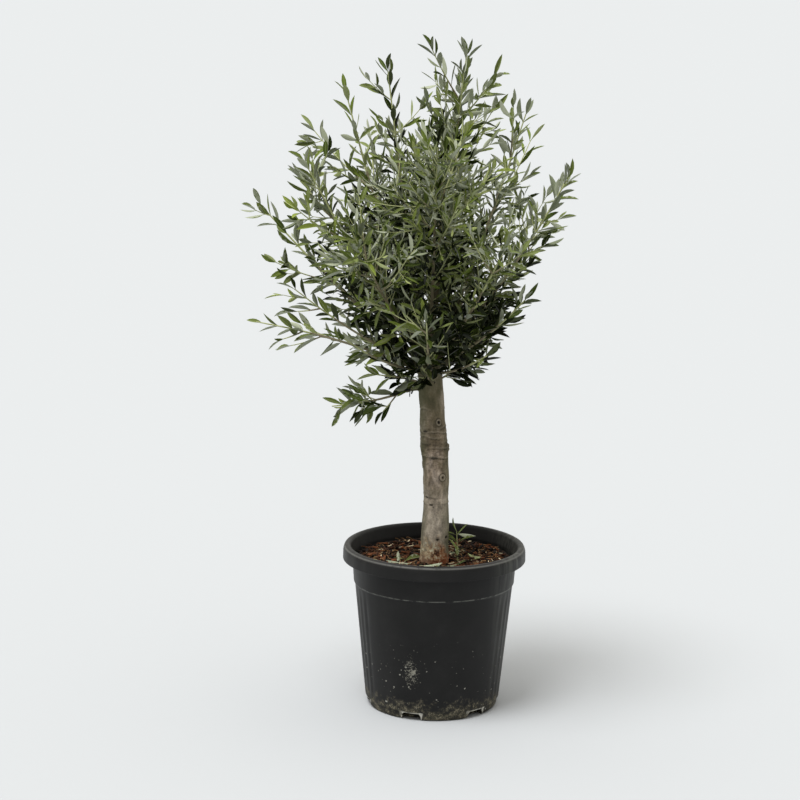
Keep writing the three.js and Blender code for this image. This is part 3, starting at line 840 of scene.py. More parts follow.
@dataclass(frozen=True)
class GrowthRule:
    """The rule that the masses grow by: the solids' own, and how much finer it goes here."""

    seed: int = 20261
    heart: Triple = (-12.0, 0.0, 650.0)
    crown_centre: Triple = (-50.0, 0.0, 925.0)
    crown_radii: Triple = (310.0, 285.0, 332.0)
    stray: float = 58.0
    leaf_reach: float = 66.0  # the solids' leaf length, which ends each line
    # The boughs: their share of a limb, where they leave the trunk, and their thickness.
    bough_share: float = 0.25
    foot_low: float = 606.0
    foot_high: float = 674.0
    low_rise: float = -28.0
    high_rise: float = 80.0
    foot_out: float = 0.6
    slim: float = 3.4
    per_reach: float = 0.0052
    taper: float = 0.62
    tuft_radius: float = 2.6
    # The side shoots: their places up the stem, their angle, their length and their lift.
    stem_pitch: float = 36.0
    first_node: float = 14.0
    node_height: float = 3.4
    last_shoot: float = 0.72
    opening: float = 44.0
    open_spread: float = 14.0
    shoot_length: float = 0.62
    shoot_fade: float = 0.5
    shortest: float = 100.0
    cuts: Sizes = (1.0, 0.86, 0.74)
    lift: float = 0.2
    # The space between the masses, round the wood, and between a bough and its leader.
    clear: float = 1.5
    limb_clear: float = 1.6
    gap: float = 0.3
    # The finer growth: close inside the core, long-jointed and open outside it.
    core_heights: Sizes = (590, 650, 700, 760, 850, 950, 1050, 1130, 1230)
    core_radii: Sizes = (40, 62, 98, 140, 165, 155, 112, 78, 20)
    core_axis: float = -8.0
    underside: Span = (680.0, 830.0)  # the heights over which the painted shade under the crown ends
    open_top: Span = (880.0, 1060.0)  # the heights over which the core thins, to the next share
    open_share: float = 0.3
    core_edge: Span = (0.85, 1.5)  # where it ends, in units of its radius
    pitch: Span = (30.0, 16.0)  # of the leaf pairs, outside and in the core
    fine_chance: Span = (0.02, 0.8)
    tip_chance: Span = (1070.0, 1160.0)  # the heights over which fine twigs end
    bare_foot: Span = (0.4, 0.45)  # of a twig: how far up, and the share of leaves lost
    funnel: Span = (634.0, 605.0)  # where the crown starts, on its left and its right
    funnel_slope: Span = (0.4, 1.35)  # the same, outside the next radius
    funnel_clear: float = 45.0
    hang_clear: float = 105.0  # how far out a limb that hangs is leafed below it
    fine_length: Span = (45.0, 100.0)
    fine_open: Span = (34.0, 58.0)
    fine_rise: Span = (-0.05, 0.3)  # of a fine twig's tip, as a share of its length
    fine_bow: float = -0.05
    fine_scale: Span = (1.15, 0.7)  # at the foot of the twig that carries it, and at its tip
    fine_below: float = 0.86  # the share of a twig that carries fine twigs
    bough_pitch: float = 11.0  # of the twigs on the boughs themselves
    bough_twigs: Span = (0.3, 1.7)  # from and to where, as shares of the bough
    tuft_twigs: Span = (0.25, 0.9)  # the same for a tuft, as shares of all of it times its fullness
    leaf_length: Span = (37.0, 56.0)
    leaf_width: Span = (7.5, 12.0)
    core_leaf: Span = (0.86, 0.6)  # how much shorter and narrower in the core
    middle: Span = (70.0, 150.0)  # how far aside the leaves are still as in the core
    broad_below: Span = (700.0, 800.0)  # the heights under which its leaves are whole again
    broad_above: Span = (980.0, 1120.0)  # the heights over which those of the middle are, too
    # How far back each leaf of a twig's last pair sits, its size, and its least and greatest angle.
    last_pair: tuple[Sizes, ...] = ((0, 0.85, 6, 16), (2, 0.7, 22, 40))
    ring_pitch: float = 9.0  # along a twig
    swing: float = 14.0  # degrees that a leaf strays from its place round the twig, and from its angle
    roomy: Span = (0.7, 1.3)  # how much a pitch varies on a bough
    droop: Span = (-0.25, 0.2)
    leaf_open: Span = (48.0, 27.0)  # at the foot of a twig and at its tip
    leaf_roll: float = 50.0
    turned_over: float = 0.27  # the share of leaves that show their backs
    # The tones: from the crown's middle to its outside, and what each kind of painted shade takes off.
    tones: Span = (1.6, 4.0)
    tone_stray: float = 1.5
    core_painted_shade: float = 4.4
    underside_painted_shade: float = 2.0
    low_painted_shade: float = 1.4
    lit_core: Span = (700.0, 960.0)  # the heights over which the core's painted shade ends
    lit_low: Span = (630.0, 720.0)
    lit_aside: Span = (60.0, 120.0)  # how far aside the underside's painted shade ends
    young: Span = (0.05, 0.10)  # the chance of young growth on an old twig and on a green one
    fresh: Span = (0.16, 0.24)  # the chance of young or fresh growth
    # The chances that a leaf is a tone darker than its spray, at most its own, at most one lighter.
    leaf_tones: Triple = (0.22, 0.72, 0.92)


# The angles of a twig's pairs of leaves or shoots, in degrees round it; they come in this turn.
PAIRS = ((0.0, 180.0), (60.0, 240.0), (-60.0, 120.0))


@dataclass
class Spray:
    """One twig with its leaves: a line, its thickness, and where each leaf sits."""

    points: Array
    radii: Array
    green: float
    roots: list[Array] = field(default_factory=list)
    turns: list[Matrix] = field(default_factory=list)
    sizes: list[Span] = field(default_factory=list)
    tones: list[Tone] = field(default_factory=list)

    def add_leaf(self, root: Array, direction: Array, face: Array, size: Span, tone: Tone) -> None:
        """Adds a leaf.

        Args:
            root: where it grows from.
            direction: the way that it points.
            face: the way that its upper side looks, as near as the direction lets it.
            size: its width and length.
            tone: its colour.
        """
        face = square_to(face, direction)
        self.roots.append(root)
        self.turns.append(Matrix(np.stack([np.cross(direction, face), direction, face], axis=1).tolist()))
        self.sizes.append(size)
        self.tones.append(tone)


class Segments:
    """The straight steps of many lines, measured together."""

    def __init__(self, lines: Iterable[Array]) -> None:
        """Gathers the steps of lines of points."""
        lines = list(lines)
        self.starts = np.concatenate([line[:-1] for line in lines])
        self.steps = np.concatenate([line[1:] for line in lines]) - self.starts
        self.lengths_squared = (self.steps * self.steps).sum(1)
        self.firsts = np.cumsum([0] + [len(line) - 1 for line in lines])[:-1]

    def distances(self, point: Array) -> Array:
        """Returns the distance from a point to each step."""
        share = np.clip(((point - self.starts) * self.steps).sum(1) / self.lengths_squared, 0, 1)
        return np.linalg.norm(self.starts + self.steps * share[:, None] - point, axis=1)


@dataclass
class Crown:
    """The crown: every limb laid out from the trunk, and the space that each mass keeps to."""

    trunk: Trunk
    rule: GrowthRule = field(default_factory=GrowthRule)
    limbs: list[Limb] = field(default_factory=lambda: LIMBS)

    def __post_init__(self) -> None:
        """Lays out the limbs and gathers their lines for the tests of space."""
        for number, limb in enumerate(self.limbs):
            self.lay_out(limb, number)
        wood = [limb for limb in self.limbs if not limb.tuft]
        self.bole = Segments([self.trunk.line])
        self.leaders = Segments(limb.leader for limb in self.limbs)
        self.boughs = Segments(limb.bough for limb in wood)
        self.bough_radii = np.repeat([limb.foot_radius for limb in wood], len(wood[0].bough) - 1)

    def lay_out(self, limb: Limb, number: int) -> None:
        """Works out a limb's bough and leader from its named sizes."""
        rule = self.rule
        limb.number = number
        if limb.foot is None:
            share = (limb.rise - rule.low_rise) / (rule.high_rise - rule.low_rise)
            height = mix(rule.foot_low, rule.foot_high, share)
            start = self.trunk.centre(height)
            start = start + heading(limb.angle, 0) * rule.foot_out * self.trunk.radius(height)
        else:
            start = self.trunk.centre(limb.foot)
        tip = rule.heart + heading(limb.angle, limb.rise) * (limb.reach - rule.leaf_reach)
        limb.path = Line(bowed(start, tip, limb.bow, 96))
        length = limb.path.length
        limb.split = (self.trunk.radius(limb.foot) - 2) / length if limb.tuft else rule.bough_share
        limb.foot_radius = rule.slim + rule.per_reach * limb.reach
        limb.tip_radius = rule.tuft_radius if limb.tuft else limb.foot_radius * rule.taper
        limb.bough = np.array([limb.path.at(s * length) for s in np.linspace(0, limb.split, 4)])
        first = limb.split + rule.gap / length
        limb.leader = np.array([limb.path.at(s * length) for s in np.linspace(first, 1, 9)])

    def scaled(self, point: Array) -> Array:
        """Returns a point's way from the crown's centre, in units of the crown's radii."""
        return (point - self.rule.crown_centre) / self.rule.crown_radii

    def in_outline(self, point: Array) -> bool:
        """Returns whether a point is inside the crown's outline."""
        scaled = self.scaled(point)
        return float(scaled @ scaled) <= 1

    def off_trunk(self, point: Array, margin: float) -> bool:
        """Returns whether a point keeps a margin from the trunk."""
        return bool(self.bole.distances(point).min() >= self.trunk.radius(point[2]) + margin)

    def off_boughs(self, point: Array, margin: float) -> bool:
        """Returns whether a point keeps a margin from every bough."""
        return bool((self.boughs.distances(point) - self.bough_radii).min() >= margin)

    def closeness(self, point: Array) -> float:
        """Returns how closely the crown is leafed at a point, from 0 outside to 1 in its core."""
        rule = self.rule
        core = np.interp(point[2], rule.core_heights, rule.core_radii)
        out = math.hypot(point[0] - rule.core_axis, point[1]) / core
        return mix(rule.open_share, 1.0, before(point[2], rule.open_top)) * before(out, rule.core_edge)

    def above_funnel(self, point: Array, limb: Limb) -> bool:
        """Returns whether a point is where the crown may be leafed, above its bare funnel."""
        rule = self.rule
        across = point[0] - rule.core_axis
        out = math.hypot(across, point[1])
        to_right = 0.5 + 0.5 * across / max(out, 1.0)
        foot, slope = mix(*rule.funnel, to_right), mix(*rule.funnel_slope, to_right)
        hangs = limb.tuft or (limb.hangs and out > rule.hang_clear)
        return hangs or bool(point[2] > foot + slope * max(out - rule.funnel_clear, 0.0))

    def homes(self, point: Array) -> Array:
        """Returns the distance from a point to each limb's leader."""
        return np.minimum.reduceat(self.leaders.distances(point), self.leaders.firsts)

    def is_free(self, point: Array, ball: float, limb: Limb) -> bool:
        """Returns whether a ball round a point keeps to a limb's own space, clear of all wood."""
        rule = self.rule
        margin = ball + rule.limb_clear
        if not (self.off_trunk(point, margin) and self.off_boughs(point, margin)):
            return False
        homes = self.homes(point)
        home = homes[limb.number]
        if home > rule.stray and not self.in_outline(point):
            return False
        others = np.delete(homes, limb.number)
        return bool(home + ball + rule.clear < others.min())

    def keeps_in(self, point: Array, limb: Limb, off_trunk: float, off_boughs: float) -> bool:
        """Returns whether a point is within the crown's reach and off the thick wood by two margins."""
        if self.homes(point)[limb.number] > self.rule.stray and not self.in_outline(point):
            return False
        return self.off_trunk(point, off_trunk) and self.off_boughs(point, off_boughs)

    def leaf_fits(self, root: Array, direction: Array, length: float, limb: Limb) -> bool:
        """Returns whether a leaf stays within the crown's reach and off the thick wood."""
        spots = (root + direction * length * share for share in (0.5, 1.0))
        return all(self.keeps_in(spot, limb, 2.0, 1.0) for spot in spots)


# ---- foliage
class Mass(Enum):
    """The groups that the foliage is joined into, each with the word that names its limbs."""

    TOP = "top"
    LEFT = "left"
    RIGHT = "right"
    FRONT = "front"
    BACK = "back"

    @classmethod
    def of(cls, limb: Limb) -> "Mass":
        """Returns a limb's group: the front or the back if its name says so, then the top, then a side."""
        words = limb.name.replace("upper", "top").split("_")
        order = (cls.FRONT, cls.BACK, cls.TOP, cls.LEFT, cls.RIGHT)
        return next(mass for mass in order if mass.value in words)


@dataclass
class Grower:
    """Grows one limb's sprays by the solids' rule, carried on to finer twigs and life-size leaves."""

    crown: Crown
    limb: Limb
    sprays: list[Spray] = field(default_factory=list)

    def __post_init__(self) -> None:
        """Takes the rule and starts the stream that the finer growth draws from."""
        self.rule = self.crown.rule
        self.fine = Stream(self.rule.seed + 7919 * (self.limb.number + 1))

    def grow(self) -> list[Spray]:
        """Grows the stem along the leader with all that it carries.

        Returns:
            The limb's sprays, the stem's first.
        """
        rule, limb = self.rule, self.limb
        marks = np.linspace(limb.split * limb.path.length + rule.gap, limb.path.length, 49)
        leader = Line(np.array([limb.path.at(mark) for mark in marks]))
        onward = unit(leader.points[-1] - leader.at(leader.length * 0.875))
        stem = Line(np.concatenate([leader.points, [leader.points[-1] + onward * rule.leaf_reach]]))
        kept = Line(np.array([stem.at(mark) for mark in np.linspace(0, stem.length * limb.kept, 50)]))
        face = crossways(unit(leader.at(leader.length / 8) - leader.points[0]), limb.number)
        wood = max(stem.length - rule.leaf_reach, rule.first_node / 2)
        self.twig(kept, face, (limb.tip_radius * 0.9, 1.1), 0.0)
        keels = Keels(stem, face)
        self.low_twigs()
        number = 0
        at = rule.first_node
        while at <= wood - rule.node_height:
            middle = at + rule.node_height / 2
            for half, angle in enumerate(PAIRS[number % len(PAIRS)]):
                if middle / stem.length >= rule.last_shoot:
                    continue
                outward = keels.outward(middle, angle)
                self.side_shoot(stem, middle, outward, 2 * number + half)
            number += 1
            at += rule.stem_pitch
        return self.sprays

    def low_twigs(self) -> None:
        """Grows short leafy twigs on the bough, which close the crown round the trunk's top."""
        rule, limb, fine = self.rule, self.limb, self.fine
        span, scale = (rule.tuft_twigs, limb.fullness) if limb.tuft else (rule.bough_twigs, limb.split)
        at, end = (share * scale * limb.path.length for share in span)
        while at < end:
            outward = crossways(limb.path.along(at), fine.between(0, 2 * math.pi))
            self.fine_twig(limb.path, at, outward, 1.0)
            at += rule.bough_pitch * fine.between(*rule.roomy)

    def side_shoot(self, stem: Line, at: float, outward: Array, number: int) -> None:
        """Grows the solids' side shoot at a numbered place on the stem, where it has room.

        Args:
            stem: the mass's stem.
            at: how far up the stem the shoot starts.
            outward: the side that it grows to.
            number: the place's number, which its stream of numbers starts from.
        """
        rule = self.rule
        random = Stream(rule.seed + self.limb.number * 131 + number * 17)
        share = at / stem.length
        root = stem.at(at)
        opening = rule.opening + rule.open_spread * (random.next() - 0.5)
        direction = leaning(stem.along(at), outward, opening)
        whole = stem.length * rule.shoot_length * (1 - rule.shoot_fade * share) * random.between(0.9, 1.15)
        for cut in rule.cuts:
            reach = max(whole, rule.shortest) * cut
            tip = root + direction * reach + UP * rule.lift * reach
            tries = bowed(root, tip, -rule.lift / 4, 8)[2:]
            if not all(self.crown.is_free(point, 3.0, self.limb) for point in tries):
                continue
            there = self.fine.next() <= mix(self.limb.fullness, 1.0, self.crown.closeness(tip))
            if there and self.crown.above_funnel(tip, self.limb):
                line = Line(bowed(root, tip, -rule.lift / 4, 24))
                self.twig(line, square_to(stem.along(at), line.along(0)), (1.7, 0.8), 0.35)
            return

    def fine_twig(self, line: Line, at: float, outward: Array, scale: float) -> None:
        """Grows a short twig that the solids leave out, where it stays within the crown."""
        rule, fine = self.rule, self.fine
        root = line.at(at)
        reach = fine.between(*rule.fine_length) * scale * self.limb.spread
        direction = leaning(line.along(at), outward, fine.between(*rule.fine_open))
        tip = root + direction * reach + UP * fine.between(*rule.fine_rise) * reach
        crown, limb = self.crown, self.limb
        for spot in bowed(root, tip, rule.fine_bow, 4)[2:]:
            if not (crown.keeps_in(spot, limb, 4.0, 3.0) and crown.above_funnel(spot, limb)):
                return
        shoot = Line(bowed(root, tip, rule.fine_bow, 10))
        face = square_to(line.along(at), shoot.along(0))
        self.twig(shoot, face, (1.1, 0.6), 0.75, 0.86, is_fine=True)

    def twig(
        self, line: Line, face: Array, radii: Span, green: float, scale: float = 1.0, is_fine: bool = False
    ) -> None:
        """Adds a twig's wood and its pairs of leaves, and lets finer twigs out of it.

        Args:
            line: the twig's line, to the tip of its last leaf.
            face: the side that its first pair stands square to.
            radii: its radius at the foot and at the tip.
            green: how much of this year's growth it is, from 0 to 1.
            scale: the size of its leaves.
            is_fine: whether it is too small to carry twigs of its own.
        """
        rule, fine = self.rule, self.fine
        last_leaf = fine.between(*rule.leaf_length) * scale * rule.last_pair[0][1]
        end = max(line.length - last_leaf, line.length * 0.5)
        count = max(int(end / rule.ring_pitch), 4)
        marks = np.linspace(0, end, count + 1)
        spray = Spray(np.array([line.at(m) for m in marks]), np.linspace(*radii, count + 1), green)
        self.sprays.append(spray)
        keels = Keels(line, face)
        tone = self.tone_at(line.at(end * 0.6), green)
        at = rule.first_node * fine.between(0.7, 1.2)
        number = 0
        while at < end - 6:
            share = at / line.length
            spot = line.at(at)
            close = max(self.crown.closeness(spot), self.limb.least)
            chance = mix(*rule.fine_chance, close) * before(spot[2], rule.tip_chance)
            bare = rule.bare_foot[1] * (share < rule.bare_foot[0] and not is_fine)
            for angle in PAIRS[number % len(PAIRS)]:
                outward = keels.outward(at, angle + fine.between(-rule.swing, rule.swing))
                if fine.next() < chance and not is_fine and share < rule.fine_below:
                    self.fine_twig(line, at, outward, mix(*rule.fine_scale, share))
                if fine.next() >= bare:
                    self.leaf(spray, line, at, outward, share, mix(1.0, 0.85, share) * scale, tone)
            number += 1
            at += mix(*rule.pitch, close) * fine.between(0.8, 1.2) * mix(1.0, 0.8, share)
        # The last pair, nearly in line with the twig, one leaf ahead of the other.
        side = keels.outward(end, fine.between(0, 360))
        for back, size, least, most in rule.last_pair:
            opening = fine.between(least, most)
            self.leaf(spray, line, end - back, side, 1.0, size * scale, tone, opening)
            side = -side

    def leaf(
        self, spray: Spray, line: Line, at: float, outward: Array, share: float, scale: float, tone: Tone,
        opening: float | None = None,
    ) -> None:
        """Adds one leaf to a spray where it fits.

        Args:
            spray: the spray that carries it.
            line: the twig's line.
            at: how far along the twig the leaf sits.
            outward: the side that it grows to.
            share: how far up the twig it is, which closes its angle.
            scale: its size.
            tone: the spray's colour.
            opening: its angle to the twig, or none for the rule's.
        """
        rule, fine = self.rule, self.fine
        along = line.along(at)
        if opening is None:
            opening = mix(*rule.leaf_open, share) + fine.between(-rule.swing, rule.swing)
        direction = unit(leaning(along, outward, opening) + UP * fine.between(*rule.droop))
        root = line.at(at)
        inner = before(abs(root[0] - rule.core_axis), rule.middle) * before(root[2], rule.broad_above)
        inner = max(self.crown.closeness(root), inner) * (1 - before(root[2], rule.broad_below))
        shorter, narrower = (mix(1.0, share, inner) for share in rule.core_leaf)
        length = fine.between(*rule.leaf_length) * scale * shorter
        width = fine.between(*rule.leaf_width) * (0.4 + 0.6 * scale) * narrower
        face = square_to(along + UP * 0.35 + outward * 0.02, direction)
        over = 180 * (fine.next() < rule.turned_over)
        face = turned(face, direction, math.radians(over + rule.leaf_roll * (2 * fine.next() - 1)))
        nearby = fine.next()
        if not self.crown.leaf_fits(root, direction, length, self.limb):
            return
        shift = int(np.searchsorted(rule.leaf_tones, nearby, side="right")) - 1
        dealt = Tone(min(max(tone + shift, Tone.DEEP), max(tone, Tone.SAGE)))
        spray.add_leaf(root, direction, face, (width, length), dealt)

    def tone_at(self, point: Array, green: float) -> Tone:
        """Deals a spray its tone, with painted shade: darker deep in the crown, under it and low down,
        fresher at its outside.
        """
        rule, fine = self.rule, self.fine
        lucky = fine.next()
        if lucky < mix(*rule.young, green):
            return Tone.YOUNG
        if lucky < mix(*rule.fresh, green):
            return Tone.FRESH
        height, aside = point[2], abs(point[0] - rule.core_axis)
        out = min(float(np.linalg.norm(self.crown.scaled(point))), 1.0)
        level = mix(*rule.tones, out) + fine.between(-rule.tone_stray, rule.tone_stray)
        # Painted shade: in the core, under the crown near the trunk, and low down.
        level -= rule.core_painted_shade * self.crown.closeness(point) * before(height, rule.lit_core)
        level -= rule.underside_painted_shade * before(height, rule.underside) * before(aside, rule.lit_aside)
        level -= rule.low_painted_shade * before(height, rule.lit_low)
        return Tone(int(min(max(round(level), Tone.DEEP), Tone.SAGE)))


class Keels:
    """The frame of a twig: which way each of its nodes faces, carried along its line."""

    def __init__(self, line: Line, face: Array) -> None:
        """Carries a side vector along a line in small steps."""
        self.line = line
        self.step = 6.0
        keel = face
        self.keels = []
        for at in np.arange(0, line.length + self.step, self.step):
            keel = square_to(keel, line.along(min(at, line.length)))
            self.keels.append(keel)

    def outward(self, at: float, angle: float) -> Array:
        """Returns the side at a distance along the line and an angle about it in degrees."""
        along = self.line.along(at)
        keel = square_to(self.keels[min(int(at / self.step), len(self.keels) - 1)], along)
        return turned(np.cross(keel, along), along, math.radians(angle))


@dataclass
class LeafBlade:
    """The outline of one leaf at length one: a lance, folded along its rib, with rolled edges."""

    fold: float
    curl: float
    twist: float
    widest: float
    stations: Sizes = (0.0, 0.09, 0.22, 0.42, 0.64, 0.85)
    rib: float = 0.055  # half width, as a share of the blade's
    thick: float = 0.012

    def half_width(self, share: float) -> float:
        """Returns half the blade's width at a share of its length, at full width one."""
        if share < 0.1:
            return 0.07
        t = (share - 0.06) / 0.94
        peak = self.widest
        rise = math.sin(math.pi / 2 * min(t / peak, 1)) ** 0.9
        fall = math.cos(math.pi / 2 * max((t - peak) / (1 - peak), 0)) ** 0.8
        return 0.5 * rise * fall

    def mesh(self) -> Mesh:
        """Returns the leaf's closed mesh along +Y, its upper side to +Z, its faces marked by side."""
        points: list[Triple] = []
        for share in self.stations:
            half, middle = self.half_width(share), -self.curl * share * share
            for across in (-1.0, -self.rib, self.rib, 1.0):
                x = half * across
                z = self.fold * abs(across) * half * 0.22 - 0.03 * (abs(across) == 1.0) * half
                points.append((x, share, middle + z + self.twist * share * x * 0.2))
            points.append((0.0, share, middle - self.thick * (1.6 if share < 0.1 else 1.0)))
        tip = len(points)
        points.append((0.0, 1.0, -self.curl))
        faces, sides = [[3, 2, 1, 0, 4]], [Side.RIB]
        strips = (
            (0, 1, Side.UPPER), (1, 2, Side.RIB), (2, 3, Side.UPPER), (4, 0, Side.UNDER), (3, 4, Side.UNDER)
        )
        for row in range(0, tip, 5):
            for i, j, side in strips:
                onward = [row + 5 + j, row + 5 + i] if row + 5 < tip else [tip]
                faces.append([row + i, row + j, *onward])
                sides.append(side if row else Side.RIB)
        mesh = bpy.data.meshes.new("leaf_blade")
        mesh.from_pydata(points, [], faces)
        mesh.shade_smooth()
        add_attribute(mesh, "side", "FACE", np.array(sides))
        edges = [[*range(side, tip, 5), tip] for side in (0, 3)]
        rims = {pair for edge in edges for pair in zip(edge, edge[1:])}
        sharp = [tuple(sorted(edge.vertices)) in rims for edge in mesh.edges]
        add_attribute(mesh, "sharp_edge", "EDGE", np.array(sharp))
        return mesh


BLADES = (
    LeafBlade(1.0, 0.04, 0.0, 0.46),
    LeafBlade(0.6, 0.1, 0.6, 0.5),
    LeafBlade(1.4, -0.05, -0.5, 0.44),
    LeafBlade(0.8, 0.16, -0.8, 0.52),
    LeafBlade(1.2, 0.07, 0.9, 0.42),
    LeafBlade(0.4, 0.02, 0.3, 0.55),
)


@dataclass
class Foliage:
    """All twigs and leaves of the crown, joined into a few pieces of each kind."""

    crown: Crown
    store: bpy.types.Collection

    def build(self) -> None:
        """Grows every limb and adds the leaves and twigs of each mass."""
        total = 0
        for mass in Mass:
            members = [limb for limb in self.crown.limbs if Mass.of(limb) is mass]
            sprays = [spray for limb in members for spray in Grower(self.crown, limb).grow()]
            total += sum(len(spray.roots) for spray in sprays)
            nodes = [f"foliage_{limb.name}" for limb in members]
            add_piece(f"leaves_{mass.value}", leaf_mesh(sprays, self.store), nodes)
            add_piece(f"twigs_{mass.value}", twig_mesh(sprays))
        log.info("%d leaves in all", total)


def shape_store(name: str, meshes: Iterable[Mesh]) -> bpy.types.Collection:
    """Returns a collection, outside the scene, of one object for each small shape."""
    store = bpy.data.collections.new(name)
    for number, mesh in enumerate(meshes):
        store.objects.link(bpy.data.objects.new(f"{name}_{number}", mesh))
    return store


def leaf_mesh(sprays: Sequence[Spray], store: bpy.types.Collection) -> Mesh:
    """Sets a leaf on every place that the sprays hold, by Geometry Nodes.

    Args:
        sprays: the sprays with their leaves' roots, turns, sizes and tones.
        store: the leaf shapes.

    Returns:
        One mesh of all the leaves, in their colours.
    """
    places = mesh_of("leaf_places", [root for spray in sprays for root in spray.roots])
    turns = np.array([turn.to_euler() for spray in sprays for turn in spray.turns])
    sizes = np.array([size for spray in sprays for size in spray.sizes]) * MM
    tones = np.array([tone for spray in sprays for tone in spray.tones])
    add_attribute(places, "turn", "POINT", turns)
    add_attribute(places, "size", "POINT", sizes[:, [0, 1, 1]])
    add_attribute(places, "tone", "POINT", tones)

    tree = GeometryTree("leaves_on_twigs", leaf_size=1.0, seed=4)
    add, given = tree.add, tree.given
    kinds = {"turn": "FLOAT_VECTOR", "size": "FLOAT_VECTOR", "tone": "INT", "side": "INT"}
    held = {word: add("InputNamedAttribute", word, data_type=kind) for word, kind in kinds.items()}
    shapes = add("CollectionInfo", store, True, True)
    pick = add("RandomValue", 0, len(store.objects) - 1, None, given["Seed"], data_type="INT")
    grown = add("VectorMath", held["size"], given["Leaf Size"], operation="SCALE")
    turn = add("EulerToRotation", held["turn"])
    leaves = add("InstanceOnPoints", given["Geometry"], None, shapes, True, pick, turn, grown)
    skin = add("Math", held["tone"], len(Side), held["side"], operation="MULTIPLY_ADD")
    return tree.run(tree.skinned(leaves, skin, blade_finishes()), places)


def twig_mesh(sprays: Sequence[Spray]) -> Mesh:
    """Sweeps a round section along every twig of some sprays, by Geometry Nodes.

    Args:
        sprays: the twigs' points and radii.

    Returns:
        One mesh of all the twigs.
    """
    lengths = [len(spray.points) for spray in sprays]
    starts = np.cumsum([0] + lengths[:-1])
    edges = [(s + i, s + i + 1) for s, n in zip(starts, lengths) for i in range(n - 1)]
    chains = mesh_of("twig_lines", np.concatenate([spray.points for spray in sprays]), edges=edges)
    add_attribute(chains, "radius_at", "POINT", np.concatenate([spray.radii for spray in sprays]) * MM)
    green = np.concatenate([np.linspace(spray.green, 1, n) for spray, n in zip(sprays, lengths)])
    add_attribute(chains, "green", "POINT", green)

    tree = GeometryTree("twigs_along_lines", thickness=1.0, sides=6)
    add, given = tree.add, tree.given
    ring = add("CurvePrimitiveCircle", given["Sides"])
    feed(ring.inputs["Radius"], given["Thickness"])
    width = add("InputNamedAttribute", "radius_at", data_type="FLOAT")
    swept = add("CurveToMesh", add("MeshToCurve", given["Geometry"]), ring, width, True)
    young = add("InputNamedAttribute", "green", data_type="FLOAT")
    is_young = add("Compare", young, 0.6, data_type="FLOAT", operation="GREATER_THAN")
    return tree.run(tree.skinned(add("SetShadeSmooth", swept), is_young, TWIG_SKINS), chains)


# ---- bark
def tube(points: list[Array], faces: list[list[int]], line: Array, radii: Array, sides: int) -> None:
    """Adds a closed tube along a line to blocks of points and a list of faces."""
    start = sum(len(block) for block in points)
    last = len(line) - 1
    angles = np.linspace(0, 2 * math.pi, sides, endpoint=False)[:, None]
    side = crossways(unit(line[1] - line[0]))
    for i, (centre, radius) in enumerate(zip(line, radii)):
        along = unit(line[min(i + 1, last)] - line[max(i - 1, 0)])
        side = square_to(side, along)
        points.append(centre + radius * (np.cos(angles) * side + np.sin(angles) * np.cross(along, side)))
    for i in range(last):
        for j in range(sides):
            a, b = start + i * sides + j, start + i * sides + (j + 1) % sides
            faces.append([a, b, b + sides, a + sides])
    faces.append([start + j for j in reversed(range(sides))])
    faces.append([start + last * sides + j for j in range(sides)])


def bell(value: Array, width: float) -> Array:
    """Returns a bell curve of a value, 1 at 0 and fading over a width."""
    return np.exp(-((value / width) ** 2))


